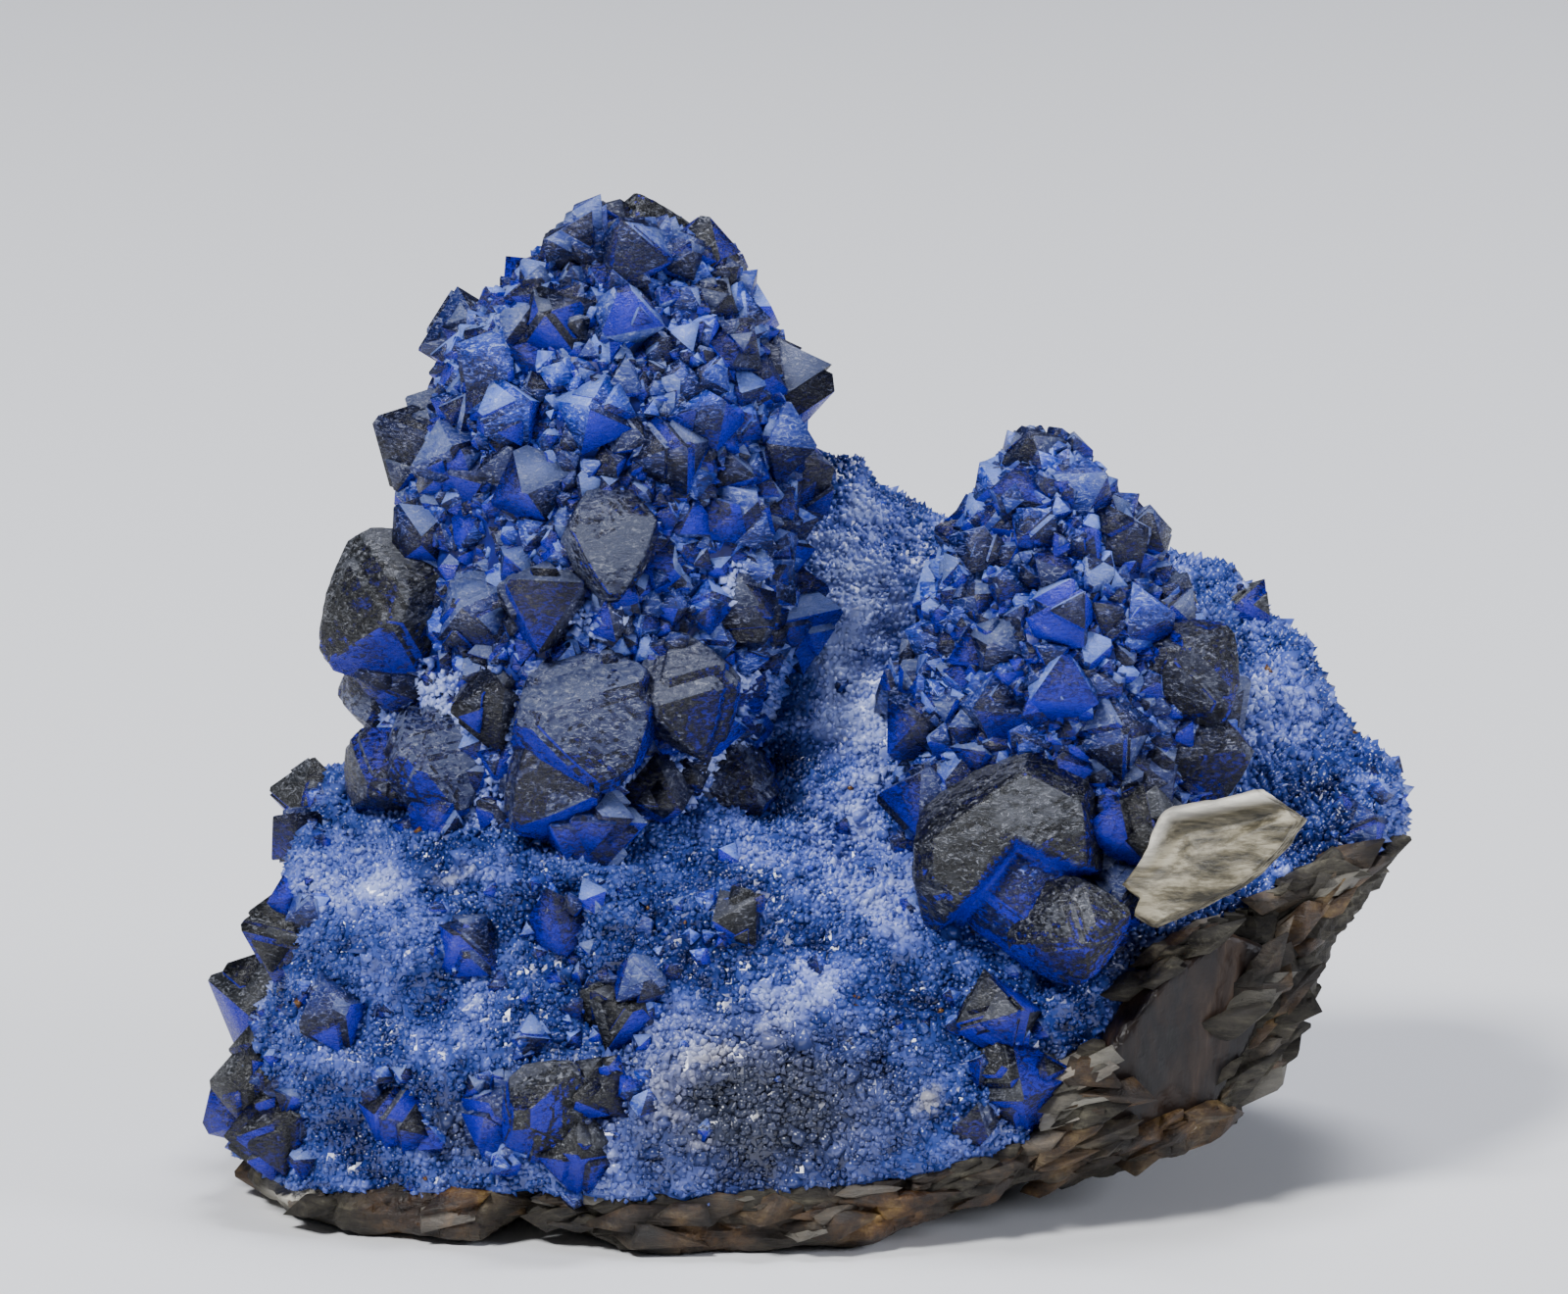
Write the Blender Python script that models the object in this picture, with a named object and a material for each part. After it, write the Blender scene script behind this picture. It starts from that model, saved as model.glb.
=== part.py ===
"""Fluorite with quartz: a loose mineral specimen that rests on its host rock.

Two stalks of blue fluorite crystals and some smaller crystals stand on a hill of
quartz druse, which grew on a broken piece of foliated rock. The specimen is about
92 mm wide, 52 mm deep and 77 mm high. The script builds it in metres with +Z up,
+X to the right and the side that is displayed facing -Y. The origin lies on the
flat underside of the host rock.

Lengths below are in millimetres and become metres through MM.
"""

import math
import random

import bmesh
import bpy
from mathutils import Matrix, Vector, noise
from mathutils.bvhtree import BVHTree

MM = 0.001
SEED = 63

# Air left between two minerals that touch
GAP = 0.35

# The front view is tilted down by this much; across and up are measured in it
VIEW_TILT = math.radians(12)

# Quartz hill: across, then the line over the hill from front foot to back foot
HILL_SECTIONS = (
    (-39.8, ((-9, 3), (-9, 3.6), (-8, 4.5), (-5, 5.5), (0, 6), (6, 5.5), (9, 4.5), (10, 3))),
    (-38.4, ((-13, 3), (-13, 6), (-11.5, 9), (-7, 12), (0, 13), (8, 12), (13, 8), (14, 3))),
    (-36.5, ((-16, 3), (-15.5, 9), (-13.5, 15), (-8, 20), (0, 22), (9, 19), (16, 12), (18, 3))),
    (-34.5, ((-17.5, 3), (-16.5, 11), (-14, 19), (-8, 26), (2, 28.5), (10, 26), (18, 16), (20, 3))),
    (-27, ((-20, 3.5), (-19, 10), (-15.5, 19), (-11, 26), (2, 31), (12, 30), (21, 19), (24, 3))),
    (-14, ((-23, 4), (-22, 9), (-18, 18), (-13, 27), (0, 33), (14, 38), (23, 24), (27, 4))),
    (-2, ((-24, 4.5), (-23, 9), (-19, 17), (-13, 26), (0, 33), (16, 48), (23.5, 30), (28, 5))),
    (5, ((-23.5, 5), (-22.5, 9), (-19, 16), (-12, 25.5), (-1, 31), (18.5, 53), (24, 34), (28, 6))),
    (12, ((-22.5, 6), (-21.5, 10), (-18, 17), (-11, 25), (0, 31), (19, 47.5), (24, 30), (28, 7))),
    (19, ((-19.5, 7), (-18.5, 12), (-15, 18), (-9, 24), (1, 30), (18.5, 45), (24, 28), (27.5, 8))),
    (25, ((-16.5, 12), (-15.5, 15), (-13, 20), (-7, 25), (2, 31), (18.5, 44.5), (23.5, 29), (27, 9))),
    (30, ((-14, 18), (-13, 20.5), (-10.5, 23), (-5, 27), (3, 32), (18, 45), (23, 30), (26.5, 10))),
    (36, ((-10.5, 21.5), (-9.5, 23.5), (-7, 25.5), (-2, 28.5), (5, 33), (17.5, 43), (22, 31), (25, 12))),
    (41, ((-6, 23.5), (-5, 25), (-3, 26.5), (1, 28.5), (7, 32), (16.5, 37.5), (20.5, 29), (22.5, 15))),
    (45.5, ((-1.5, 24.8), (-1, 26), (0.5, 27.3), (3.5, 28.8), (8, 30.5), (14, 32), (17, 28), (19, 20))),
    (48.5, ((3, 25.5), (3.2, 26.3), (4, 27.2), (6, 28), (8.5, 28.6), (11.5, 28.6), (13, 27), (13.5, 25))),
)
HILL_ALONG = 35
HILL_OVER = 24
HILL_UNDER = 3
HILL_LUMP = 1.3
HILL_GRAIN = 0.5

# Humps and hollows of the druse in the front view: across, up, width, depth, height
HILL_HUMPS = (
    (-27.5, 18.5, 8.0, 6.0, 1.6), (-15.0, 18.0, 4.5, 5.0, -1.8), (-12.5, 12.5, 3.5, 3.5, -1.2),
    (-26.5, 9.0, 6.0, 2.4, 1.2), (-26.0, 4.6, 6.5, 2.0, -1.3), (2.8, 15.2, 4.2, 3.0, 1.9),
    (-2.0, 10.2, 6.0, 1.9, 1.9), (-2.0, 6.8, 6.5, 1.8, -1.4), (-3.0, 2.5, 4.5, 2.2, 1.2),
    (10.0, 12.0, 4.0, 4.0, -1.1), (8.0, 29.8, 4.5, 2.0, 1.6), (8.5, 25.5, 4.0, 2.4, -1.2),
    (12.5, 6.5, 4.5, 2.2, 1.3), (36.0, 36.0, 5.0, 3.5, 1.3), (42.0, 31.0, 3.0, 2.2, -1.0),
)

# Host rock: across, then the line around its section from front top to back top,
# by way of the underside
ROCK_SECTIONS = (
    (-38.5, ((-9, 3.4), (-10, 2.4), (-8, 1.6), (-2, 1.2), (4, 1.2), (8, 1.8), (9, 3.4))),
    (-36, ((-15, 3.8), (-16, 2.2), (-12, 0.6), (-3, -0.6), (6, -0.6), (13, 0.8), (15, 4.5))),
    (-31, ((-18, 4.2), (-19.5, 2.0), (-17.5, -0.6), (-5, -1), (7, -1), (17, 0.4), (20, 5))),
    (-21.5, ((-21, 4.5), (-22.5, 2.0), (-20, -0.8), (-5, -1), (9, -1), (20.5, 0.4), (24, 5.5))),
    (-17, ((-22, 4.6), (-22.8, 3.8), (-18.5, 3.4), (-9, -1), (10, -1.2), (21, 0.3), (25, 6))),
    (-12.5, ((-22.8, 4.6), (-24, 1.8), (-21, -0.6), (-6, -1.2), (10, -1.2), (22, 0.2), (26, 6))),
    (-2, ((-23.8, 5), (-25, 2.4), (-22.5, 0), (-8, -1.2), (10, -1.2), (23, 0), (27.5, 7))),
    (8, ((-23, 6), (-24.2, 3), (-21.5, -0.2), (-9, -1), (10, -1.2), (23, 0), (27.5, 8))),
    (12, ((-22, 6.5), (-23, 3.6), (-20, 1.2), (-9, -0.8), (10, -1.2), (23, 0), (27.5, 8.5))),
    (16, ((-20.5, 7), (-21.5, 4.6), (-18, 3.8), (-9, 1.4), (8, -1), (22, 0), (27, 9))),
    (23, ((-17.5, 13), (-19, 8), (-17.5, 4.2), (-9, 2.2), (6, 0), (20, 0), (26, 10))),
    (30, ((-14, 19.5), (-15.5, 12), (-14.5, 6), (-8, 4), (5, 2.5), (17, 3), (25, 12))),
    (37, ((-10, 23.5), (-11, 16), (-10, 8.5), (-4, 7), (5, 6.5), (15, 8), (23, 15))),
    (40, ((-7.5, 24.4), (-8.5, 19), (-7.5, 14), (-2.5, 12), (5, 11.5), (14, 12.5), (21, 17))),
    (43, ((-4.8, 25.2), (-5.4, 22.4), (-3.6, 19.6), (0, 18), (6, 17.8), (12, 18.4), (18, 21))),
    (46, ((-1, 26), (-1.5, 24.4), (0, 22.4), (3, 21.4), (7, 21.2), (12, 21.8), (15, 23.5))),
    (48, ((4, 26), (3.6, 25.2), (4.4, 24.4), (6, 24), (8, 24), (10, 24.4), (11, 25.4))),
)
ROCK_ALONG = 21
ROCK_OVER = 1
ROCK_UNDER = 14
ROCK_LUMP = 1.0

# Brown spar in the host rock: its outline across and up in the front view, a point of
# its cleaved face, the way that face looks, and how deep the mass goes
SPAR_OUTLINE = (
    (34.9, 18.6), (30.0, 15.4), (26.0, 9.8), (25.4, 4.2), (29.0, 2.6), (33.6, 4.6),
    (36.9, 11.2), (37.9, 17.2),
)
SPAR_MIDDLE = (31.5, -15.0, 12.0)
SPAR_FACING = (0.50, -0.85, -0.14)
SPAR_DEPTH = 7.0
SPAR_TAPER = 0.82

# Stalk cores: height, middle across, middle in depth, half width, half depth
TALL_CORE = (
    (20, -15.0, 3.5, 14.0, 12.5),
    (27, -15.2, 3.5, 15.2, 14.0),
    (34, -14.8, 3.8, 15.4, 14.5),
    (41, -13.2, 4.0, 15.8, 14.5),
    (48.5, -12.3, 4.2, 15.9, 14.2),
    (56, -12.0, 4.5, 15.0, 13.2),
    (63, -11.4, 4.8, 12.6, 11.2),
    (67.5, -10.2, 5.0, 9.8, 9.0),
    (71.0, -9.6, 5.2, 5.8, 5.6),
    (72.2, -9.2, 5.5, 3.0, 3.2),
)
SHORT_CORE = (
    (17.5, 20.5, -8.0, 6.0, 6.0),
    (21, 20.6, -6.5, 9.0, 8.0),
    (26, 22.6, -4.5, 12.2, 9.6),
    (32, 22.8, -2.6, 12.4, 9.8),
    (38, 22.2, -1.8, 12.0, 10.0),
    (45, 22.0, -1.2, 9.6, 8.8),
    (50, 21.6, -0.8, 7.6, 7.2),
    (54, 21.2, -0.4, 4.8, 4.8),
    (56.6, 20.4, 0.0, 2.2, 2.2),
)
CORE_SIDES = 12

# An octahedron's corners lie this much further out than the half size that shows
CORNER_REACH = 1.28

# Crystals with a larger half size than this have blunted corners
BLUNT_FROM = 3.6
BLUNT = 0.3

# Points closer than this are welded; a loose piece with fewer corners is dropped
WELD = 0.0006
CRUMB = 8

# Large crystals of the tall stalk, seen from the front: across, up, radius, spin
TALL_FRONT = (
    (-13.5, 69.6, 3.2, 20), (-9.6, 69.0, 3.0, 65), (-6.4, 68.8, 2.4, 40),
    (-15.0, 63.9, 3.2, 15), (-10.4, 64.4, 2.6, 50), (-20.2, 61.0, 2.8, 35), (-3.0, 62.5, 2.8, 70),
    (-18.4, 57.0, 2.9, 5), (-12.6, 57.4, 2.7, 80), (-4.5, 57.2, 2.6, 25), (1.0, 55.0, 2.8, 55),
    (-7.1, 54.0, 3.0, 33), (-23.0, 54.2, 2.7, 61), (-17.0, 52.0, 2.9, 12), (-25.2, 48.4, 2.9, 47),
    (-11.6, 48.0, 4.6, 0), (-2.2, 50.0, 3.0, 75), (-21.0, 42.9, 3.4, 20), (-16.4, 42.9, 3.5, 66),
    (-13.5, 34.4, 6.2, 8), (-15.4, 29.8, 4.6, 52), (-6.0, 36.6, 4.9, 30), (-24.8, 31.8, 4.9, 14),
    (-2.6, 28.8, 5.0, 44), (-13.4, 26.6, 4.0, 5), (-24.0, 27.0, 2.6, 27), (-1.4, 42.6, 3.0, 58),
    (-20.0, 35.6, 3.0, 71), (-27.0, 37.6, 3.0, 16), (-8.0, 29.4, 3.2, 38),
)

# Large crystals on the stalk's outline and behind: x, y, z, radius, spin
TALL_ROUND = (
    (-8.3, 7.5, 69.6, 4.2, 12), (-18.0, 10.0, 66.6, 3.2, 40), (-22.2, 9.0, 62.8, 3.4, 66),
    (-26.8, 4.5, 56.2, 3.7, 18), (-29.2, -1.0, 44.4, 6.2, 30), (-31.2, 3.0, 37.2, 4.2, 55),
    (-30.2, -3.5, 31.6, 4.4, 8), (2.0, 4.0, 60.2, 3.9, 25), (4.0, 6.0, 52.4, 3.4, 50),
    (3.8, 2.0, 42.6, 3.6, 72), (-9.0, 16.0, 62.0, 4.2, 33), (-20.0, 17.0, 54.0, 4.4, 61),
    (-5.0, 18.5, 50.0, 4.2, 14), (-24.0, 14.0, 44.0, 4.8, 47), (-15.0, 18.5, 43.5, 4.6, 5),
)

# Large crystals of the short stalk, seen from the front, and on its outline
SHORT_FRONT = (
    (20.2, 54.8, 2.4, 20), (19.0, 51.0, 2.6, 55), (24.0, 51.6, 2.5, 10), (27.0, 47.6, 2.5, 65),
    (16.4, 47.0, 2.4, 35), (22.2, 42.0, 2.9, 0), (17.6, 40.0, 2.6, 44), (28.6, 42.0, 2.7, 71),
    (31.4, 38.0, 4.9, 14), (33.4, 31.8, 4.6, 50), (26.0, 33.6, 3.7, 27), (28.4, 30.0, 3.2, 62),
    (18.8, 24.0, 8.8, 6), (22.2, 20.6, 4.4, 38), (27.6, 26.2, 3.8, 18), (12.0, 34.0, 2.9, 70),
    (12.6, 40.6, 2.5, 23), (17.4, 35.4, 2.7, 58), (22.4, 36.8, 2.6, 32), (12.6, 28.4, 3.2, 12),
    (26.0, 21.6, 3.0, 41),
)
SHORT_ROUND = (
    (34.0, 2.0, 35.0, 3.8, 20), (10.6, 1.0, 37.0, 3.4, 48), (22.0, 7.6, 46.0, 3.4, 66),
    (30.0, 5.5, 44.0, 3.4, 10), (14.4, 6.0, 43.6, 3.4, 30),
)

# Smaller groups on the druse: name, then across, up, radius and spin of each crystal
DRUSE_GROUPS = (
    ("fluorite_left_edge", ((-35.6, 18.4, 4.1, 20), (-38.2, 12.6, 3.9, 50), (-38.2, 7.4, 3.4, 10),
                            (-36.6, 3.6, 3.4, 62), (-40.2, 4.8, 2.6, 35))),
    ("fluorite_shoulder", ((-34.6, 28.6, 2.8, 15), (-35.4, 25.8, 2.6, 48))),
    ("fluorite_front", ((-16.5, 5.4, 4.3, 25), (-12.6, 6.6, 3.0, 52), (-14.0, 2.4, 3.2, 5),
                        (-19.8, 4.8, 2.8, 68))),
    ("fluorite_middle", ((-10.2, 12.6, 2.8, 18), (-12.0, 13.4, 2.3, 44), (-9.2, 15.0, 2.2, 61))),
    ("fluorite_rim", ((19.0, 7.6, 3.9, 12), (17.8, 12.6, 3.1, 37))),
    ("octahedron_slope", ((-22.1, 17.4, 2.8, 45),)),
    ("octahedron_upper", ((-15.2, 19.6, 2.9, 0),)),
    ("octahedron_low_left", ((-32.0, 12.4, 2.8, 30),)),
    ("octahedron_front_left", ((-27.0, 4.8, 2.9, 55),)),
    ("octahedron_valley", ((-1.9, 19.8, 2.4, 15),)),
    ("octahedron_ridge", ((37.2, 43.0, 2.1, 22),)),
    ("octahedron_right_end", ((45.6, 26.0, 2.4, 40),)),
)

# Groups on the back of the druse: name, then x, y, z, radius and spin of each crystal
BACK_GROUPS = (
    ("fluorite_back", ((-24, 22, 16, 3.6, 20), (-20, 23.5, 12.5, 3.0, 55), (-27, 19.5, 11, 2.6, 35))),
    ("octahedron_back_low", ((6.0, 26.5, 14.0, 2.8, 40),)),
    ("octahedron_back_high", ((14.0, 24.5, 31.0, 2.6, 15),)),
    ("octahedron_back_right", ((33.0, 22.5, 24.0, 2.7, 62),)),
)

# Small crystals that cover the stalks: heights, number, smallest and largest radius
TALL_FILL = (28, 70, 27, 3.0, 3.8)
SHORT_FILL = (24, 53, 14, 2.6, 3.4)

# Cream blade: its outline across and up in the front view, and its plane
BLADE_OUTLINE = (
    (27.0, 21.5), (28.9, 24.2), (30.8, 27.5), (34.6, 28.6), (38.3, 29.6), (41.1, 26.8),
    (39.0, 23.4), (36.2, 21.8), (33.8, 20.4), (29.6, 18.5), (27.4, 20.0),
)
BLADE_MIDDLE = (34.0, -15.4, 27.8)
BLADE_FACING = (-0.42, -0.86, 0.28)
BLADE_THICK = 2.2
BLADE_STEP = 0.7


def clear_scene():
    """Remove whatever the open file holds."""
    for item in list(bpy.data.objects):
        bpy.data.objects.remove(item, do_unlink=True)


def finish(name, colour, roughness, transmission=0.0, ior=1.45):
    """Make a Principled material with a plain colour."""
    material = bpy.data.materials.new(name)
    material.use_nodes = True
    shader = material.node_tree.nodes["Principled BSDF"]
    shader.inputs["Base Color"].default_value = (*colour, 1.0)
    shader.inputs["Roughness"].default_value = roughness
    shader.inputs["Metallic"].default_value = 0.0
    shader.inputs["Transmission Weight"].default_value = transmission
    shader.inputs["IOR"].default_value = ior
    return material


def add_object(name, bm, material=None):
    """Turn a bmesh in millimetres into an object in metres."""
    bmesh.ops.scale(bm, vec=Vector((MM, MM, MM)), verts=bm.verts)
    bmesh.ops.recalc_face_normals(bm, faces=bm.faces)
    mesh = bpy.data.meshes.new(name)
    bm.to_mesh(mesh)
    bm.free()
    item = bpy.data.objects.new(name, mesh)
    bpy.context.collection.objects.link(item)
    if material:
        mesh.materials.append(material)
    return item


def curve_at(points, place):
    """Give the point of a smooth curve through the points; place counts from 0 to the last."""
    last = len(points) - 1
    span = min(int(place), last - 1)
    part = place - span
    before = points[max(span - 1, 0)]
    start = points[span]
    end = points[span + 1]
    after = points[min(span + 2, last)]
    bend = 2 * before - 5 * start + 4 * end - after
    turn = 3 * start - before - 3 * end + after
    return 0.5 * (2 * start + part * (end - before) + part ** 2 * bend + part ** 3 * turn)


def spread_line(points, count):
    """Read count points, evenly spaced by length, from a smooth curve through the points."""
    steps = 12 * (len(points) - 1)
    fine = [curve_at(points, (len(points) - 1) * step / steps) for step in range(steps + 1)]
    runs = [0.0]
    for first, second in zip(fine, fine[1:]):
        runs.append(runs[-1] + (second - first).length)
    line = []
    span = 0
    for index in range(count):
        goal = runs[-1] * index / (count - 1)
        while span < steps - 1 and runs[span + 1] < goal:
            span += 1
        part = (goal - runs[span]) / (runs[span + 1] - runs[span])
        line.append(fine[span].lerp(fine[span + 1], part))
    return line


def stations_between(values, count):
    """Give count places in a rising list of values, evenly spaced by value."""
    places = []
    for index in range(count):
        goal = values[0] + (values[-1] - values[0]) * index / (count - 1)
        span = 0
        while span < len(values) - 2 and values[span + 1] < goal:
            span += 1
        places.append(span + (goal - values[span]) / (values[span + 1] - values[span]))
    return places


def section_loops(sections, along, over, under):
    """Read closed loops from sections: a long line, and a straight line back under it."""
    lines = []
    for across, points in sections:
        lines.append(spread_line([Vector((across, y, z)) for y, z in points], over))
    loops = []
    for place in stations_between([across for across, points in sections], along):
        line = [curve_at([row[index] for row in lines], place) for index in range(over)]
        back = [line[-1].lerp(line[0], step / (under + 1)) for step in range(1, under + 1)]
        loops.append((line, back))
    return loops


def skin_loops(loops):
    """Join rings of points into a closed mesh with both ends filled."""
    bm = bmesh.new()
    rings = [[bm.verts.new(point) for point in loop] for loop in loops]
    for first, second in zip(rings, rings[1:]):
        size = len(first)
        for index in range(size):
            after = (index + 1) % size
            bm.faces.new((first[index], first[after], second[after], second[index]))
    bm.faces.new(rings[0])
    bm.faces.new(reversed(rings[-1]))
    bmesh.ops.recalc_face_normals(bm, faces=bm.faces)
    return bm


def lump(point, scale, seed):
    """Give smooth noise from about -1 to 1 with lumps of the given size."""
    return noise.noise(point / scale + Vector((seed, seed * 1.7, -seed)))


def hump_height(point):
    """Give how far the named humps and hollows lift the druse at a point of its front."""
    up = point.z * math.cos(VIEW_TILT) + point.y * math.sin(VIEW_TILT)
    lift = 0.0
    for across, middle, width, depth, height in HILL_HUMPS:
        far = ((point.x - across) / width) ** 2 + ((up - middle) / depth) ** 2
        if far < 1:
            lift += height * (1 - far) ** 2 * (1 + far)
    return lift


def build_hill(material):
    """Make the quartz hill: a lofted form with lumps, ledges and a faceted grain."""
    draw = random.Random(SEED)
    loops = []
    for line, back in section_loops(HILL_SECTIONS, HILL_ALONG, HILL_OVER, HILL_UNDER):
        for index in range(2, len(line) - 2):
            slide = Vector((draw.uniform(-1, 1), draw.uniform(-1, 1), 0)) * 0.45
            line[index] = line[index] + slide
        loops.append(line + back)
    bm = skin_loops(loops)
    bm.normal_update()
    bm.verts.ensure_lookup_table()
    size = len(loops[0])
    shifts = []
    towards = Vector((0, -math.cos(VIEW_TILT), math.sin(VIEW_TILT)))
    for vert in bm.verts:
        place = vert.index % size
        edge = min(place, HILL_OVER - 1 - place)
        weight = max(0.0, min(1.0, edge / 2))
        if vert.index < size or vert.index >= size * (HILL_ALONG - 1):
            weight = 0.0
        ledge = lump(vert.co * Vector((0.7, 0.7, 1.5)), 6.0, 3)
        push = HILL_LUMP * (1.5 * ledge + 0.7 * lump(vert.co, 3.2, 9))
        push += HILL_GRAIN * draw.uniform(-1, 1)
        if vert.normal.dot(towards) > 0:
            push += hump_height(vert.co)
        shifts.append(vert.normal * push * weight)
    for vert, shift in zip(bm.verts, shifts):
        vert.co += shift
    bmesh.ops.triangulate(bm, faces=bm.faces, quad_method="SHORT_EDGE")
    return add_object("quartz_druse", bm, material)


def build_rock(material):
    """Make the host rock: broken ledges around a flat underside that it rests on."""
    loops = []
    for line, back in section_loops(ROCK_SECTIONS, ROCK_ALONG, ROCK_UNDER, ROCK_OVER):
        lift = Vector((0, 0, 3.0))
        loops.append(line + [point + lift for point in back])
    bm = skin_loops(loops)
    bm.normal_update()
    for vert in bm.verts:
        leaf = lump(vert.co * Vector((0.3, 0.3, 1.6)), 1.6, 5)
        push = ROCK_LUMP * (lump(vert.co, 5.0, 7) + 0.6 * leaf)
        vert.co += vert.normal * push
    for vert in bm.verts:
        vert.co.z = max(vert.co.z, 0.0)
    bmesh.ops.triangulate(bm, faces=bm.faces, quad_method="SHORT_EDGE")
    return add_object("host_rock", bm, material)


def build_core(name, rows):
    """Make a stalk's core from rows of height, middle and half sizes."""
    loops = []
    points = [Vector((cx, cy, z)) for z, cx, cy, rx, ry in rows]
    sizes = [Vector((rx, ry, 0)) for z, cx, cy, rx, ry in rows]
    levels = 2 * len(rows) - 1
    for level in range(levels):
        place = (len(rows) - 1) * level / (levels - 1)
        middle = curve_at(points, place)
        half = curve_at(sizes, place)
        loop = []
        for side in range(CORE_SIDES):
            angle = math.tau * (side + 0.5 * (level % 2)) / CORE_SIDES
            spot = middle + Vector((half.x * math.cos(angle), half.y * math.sin(angle), 0))
            spot += (spot - middle).normalized() * 0.7 * lump(spot, 5.0, 11)
            loop.append(spot)
        loops.append(loop)
    return add_object(name, skin_loops(loops))


def octahedron(bm, middle, radius, turn, draw, blunt=0.0):
    """Add a slightly uneven octahedron; a blunt one has its corners cut off."""
    part = bmesh.new()
    directions = [Vector(spot) for spot in
                  ((1, 0, 0), (0, 1, 0), (-1, 0, 0), (0, -1, 0), (0, 0, 1), (0, 0, -1))]
    verts = [part.verts.new(way * draw.uniform(0.9, 1.08)) for way in directions]
    for side in range(4):
        first = verts[side]
        second = verts[(side + 1) % 4]
        part.faces.new((first, second, verts[4]))
        part.faces.new((second, first, verts[5]))
    if blunt:
        bmesh.ops.bevel(part, geom=list(part.verts), offset=blunt, affect="VERTICES",
                        segments=1, clamp_overlap=True)
    placing = Matrix.Translation(middle) @ turn.to_4x4() @ Matrix.Scale(radius, 4)
    copies = {vert: bm.verts.new(placing @ vert.co) for vert in part.verts}
    for face in part.faces:
        bm.faces.new([copies[vert] for vert in face.verts])
    part.free()


def turned(normal, spin, tip, draw):
    """Turn a crystal so that a corner or a face points out of the surface."""
    out = Vector((0, 0, 1)) if tip else Vector((1, 1, 1)).normalized()
    turn = out.rotation_difference(normal).to_matrix()
    lean = Matrix.Rotation(draw.uniform(-0.3, 0.3), 3, "X")
    around = Matrix.Rotation(math.radians(spin), 3, normal)
    return around @ turn @ lean


def view_ray(across, up):
    """Give the start and direction of the front view's ray through a place in it."""
    way = Vector((0, math.cos(VIEW_TILT), -math.sin(VIEW_TILT)))
    rise = Vector((0, math.sin(VIEW_TILT), math.cos(VIEW_TILT)))
    return Vector((across, 0, 0)) + rise * up - way * 200, way


def host_tree(item):
    """Make a search tree of an object's faces, in millimetres."""
    bm = bmesh.new()
    bm.from_mesh(item.data)
    bmesh.ops.scale(bm, vec=Vector((1, 1, 1)) / MM, verts=bm.verts)
    tree = BVHTree.FromBMesh(bm)
    bm.free()
    return tree


def front_places(tree, rows):
    """Find where the rows of across and up meet a host, as seen from the front."""
    for across, up, radius, spin in rows:
        start, way = view_ray(across, up)
        spot, normal, face, far = tree.ray_cast(start, way)
        if spot is None:
            spot, normal, face, far = tree.find_nearest(start + way * 190)
        yield spot, normal, radius, spin


def near_places(tree, rows):
    """Find the places on a host that are nearest to the rows of x, y and z."""
    places = []
    for x, y, z, radius, spin in rows:
        spot, normal, face, far = tree.find_nearest(Vector((x, y, z)))
        places.append((spot, normal, radius, spin))
    return places


def fill_places(tree, rows, fill, taken, draw):
    """Spread small crystals over a stalk, clear of the large ones."""
    low, high, number, small, large = fill
    points = [Vector((cx, cy, z)) for z, cx, cy, rx, ry in rows]
    heights = [row[0] for row in rows]
    golden = math.pi * (3 - math.sqrt(5))
    for index in range(number):
        height = low + (high - low) * (index + 0.5) / number
        span = 0
        while span < len(heights) - 2 and heights[span + 1] < height:
            span += 1
        part = (height - heights[span]) / (heights[span + 1] - heights[span])
        middle = points[span].lerp(points[span + 1], part)
        angle = golden * index + draw.uniform(-0.2, 0.2)
        way = Vector((math.cos(angle), math.sin(angle), draw.uniform(0.0, 0.15))).normalized()
        spot, normal, face, far = tree.ray_cast(middle + way * 60, -way)
        radius = draw.uniform(small, large)
        if spot is None:
            continue
        if any((spot - other).length < 0.62 * (radius + size) for other, size in taken):
            continue
        taken.append((spot, radius))
        yield spot, normal, radius, draw.uniform(0, 90)


def crystal_objects(places, draw, sink=0.3):
    """Make a crystal at each place, sunk into its host by a part of its radius."""
    made = []
    for spot, normal, radius, spin in places:
        tip = draw.random() < 0.6
        middle = spot - normal * radius * (sink if tip else sink * 0.3)
        blunt = BLUNT if radius > BLUNT_FROM else 0.0
        reach = radius * CORNER_REACH
        bm = bmesh.new()
        octahedron(bm, middle, reach, turned(normal, spin, tip, draw), draw, blunt)
        made.append(add_object("crystal", bm))
    return made


def settle(item):
    """Replace an object's mesh by what its modifiers make of it."""
    graph = bpy.context.evaluated_depsgraph_get()
    made = bpy.data.meshes.new_from_object(item.evaluated_get(graph))
    item.modifiers.clear()
    item.data = made


def boolean(item, tools, operation):
    """Join tools to an object, or cut them away, and remove the tools."""
    group = bpy.data.collections.new("tools")
    for tool in tools:
        group.objects.link(tool)
    modifier = item.modifiers.new(operation.lower(), "BOOLEAN")
    modifier.operation = operation
    modifier.solver = "EXACT"
    modifier.operand_type = "COLLECTION"
    modifier.collection = group
    settle(item)
    for tool in tools:
        bpy.data.objects.remove(tool, do_unlink=True)
    bpy.data.collections.remove(group)


def swollen(item, name):
    """Copy an object and push its faces out by the gap."""
    bm = bmesh.new()
    bm.from_mesh(item.data)
    bm.normal_update()
    for vert in bm.verts:
        vert.co += vert.normal * GAP * MM
    mesh = bpy.data.meshes.new(name)
    bm.to_mesh(mesh)
    bm.free()
    copy = bpy.data.objects.new(name, mesh)
    bpy.context.collection.objects.link(copy)
    copy.hide_render = True
    copy.display_type = "WIRE"
    return copy


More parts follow.
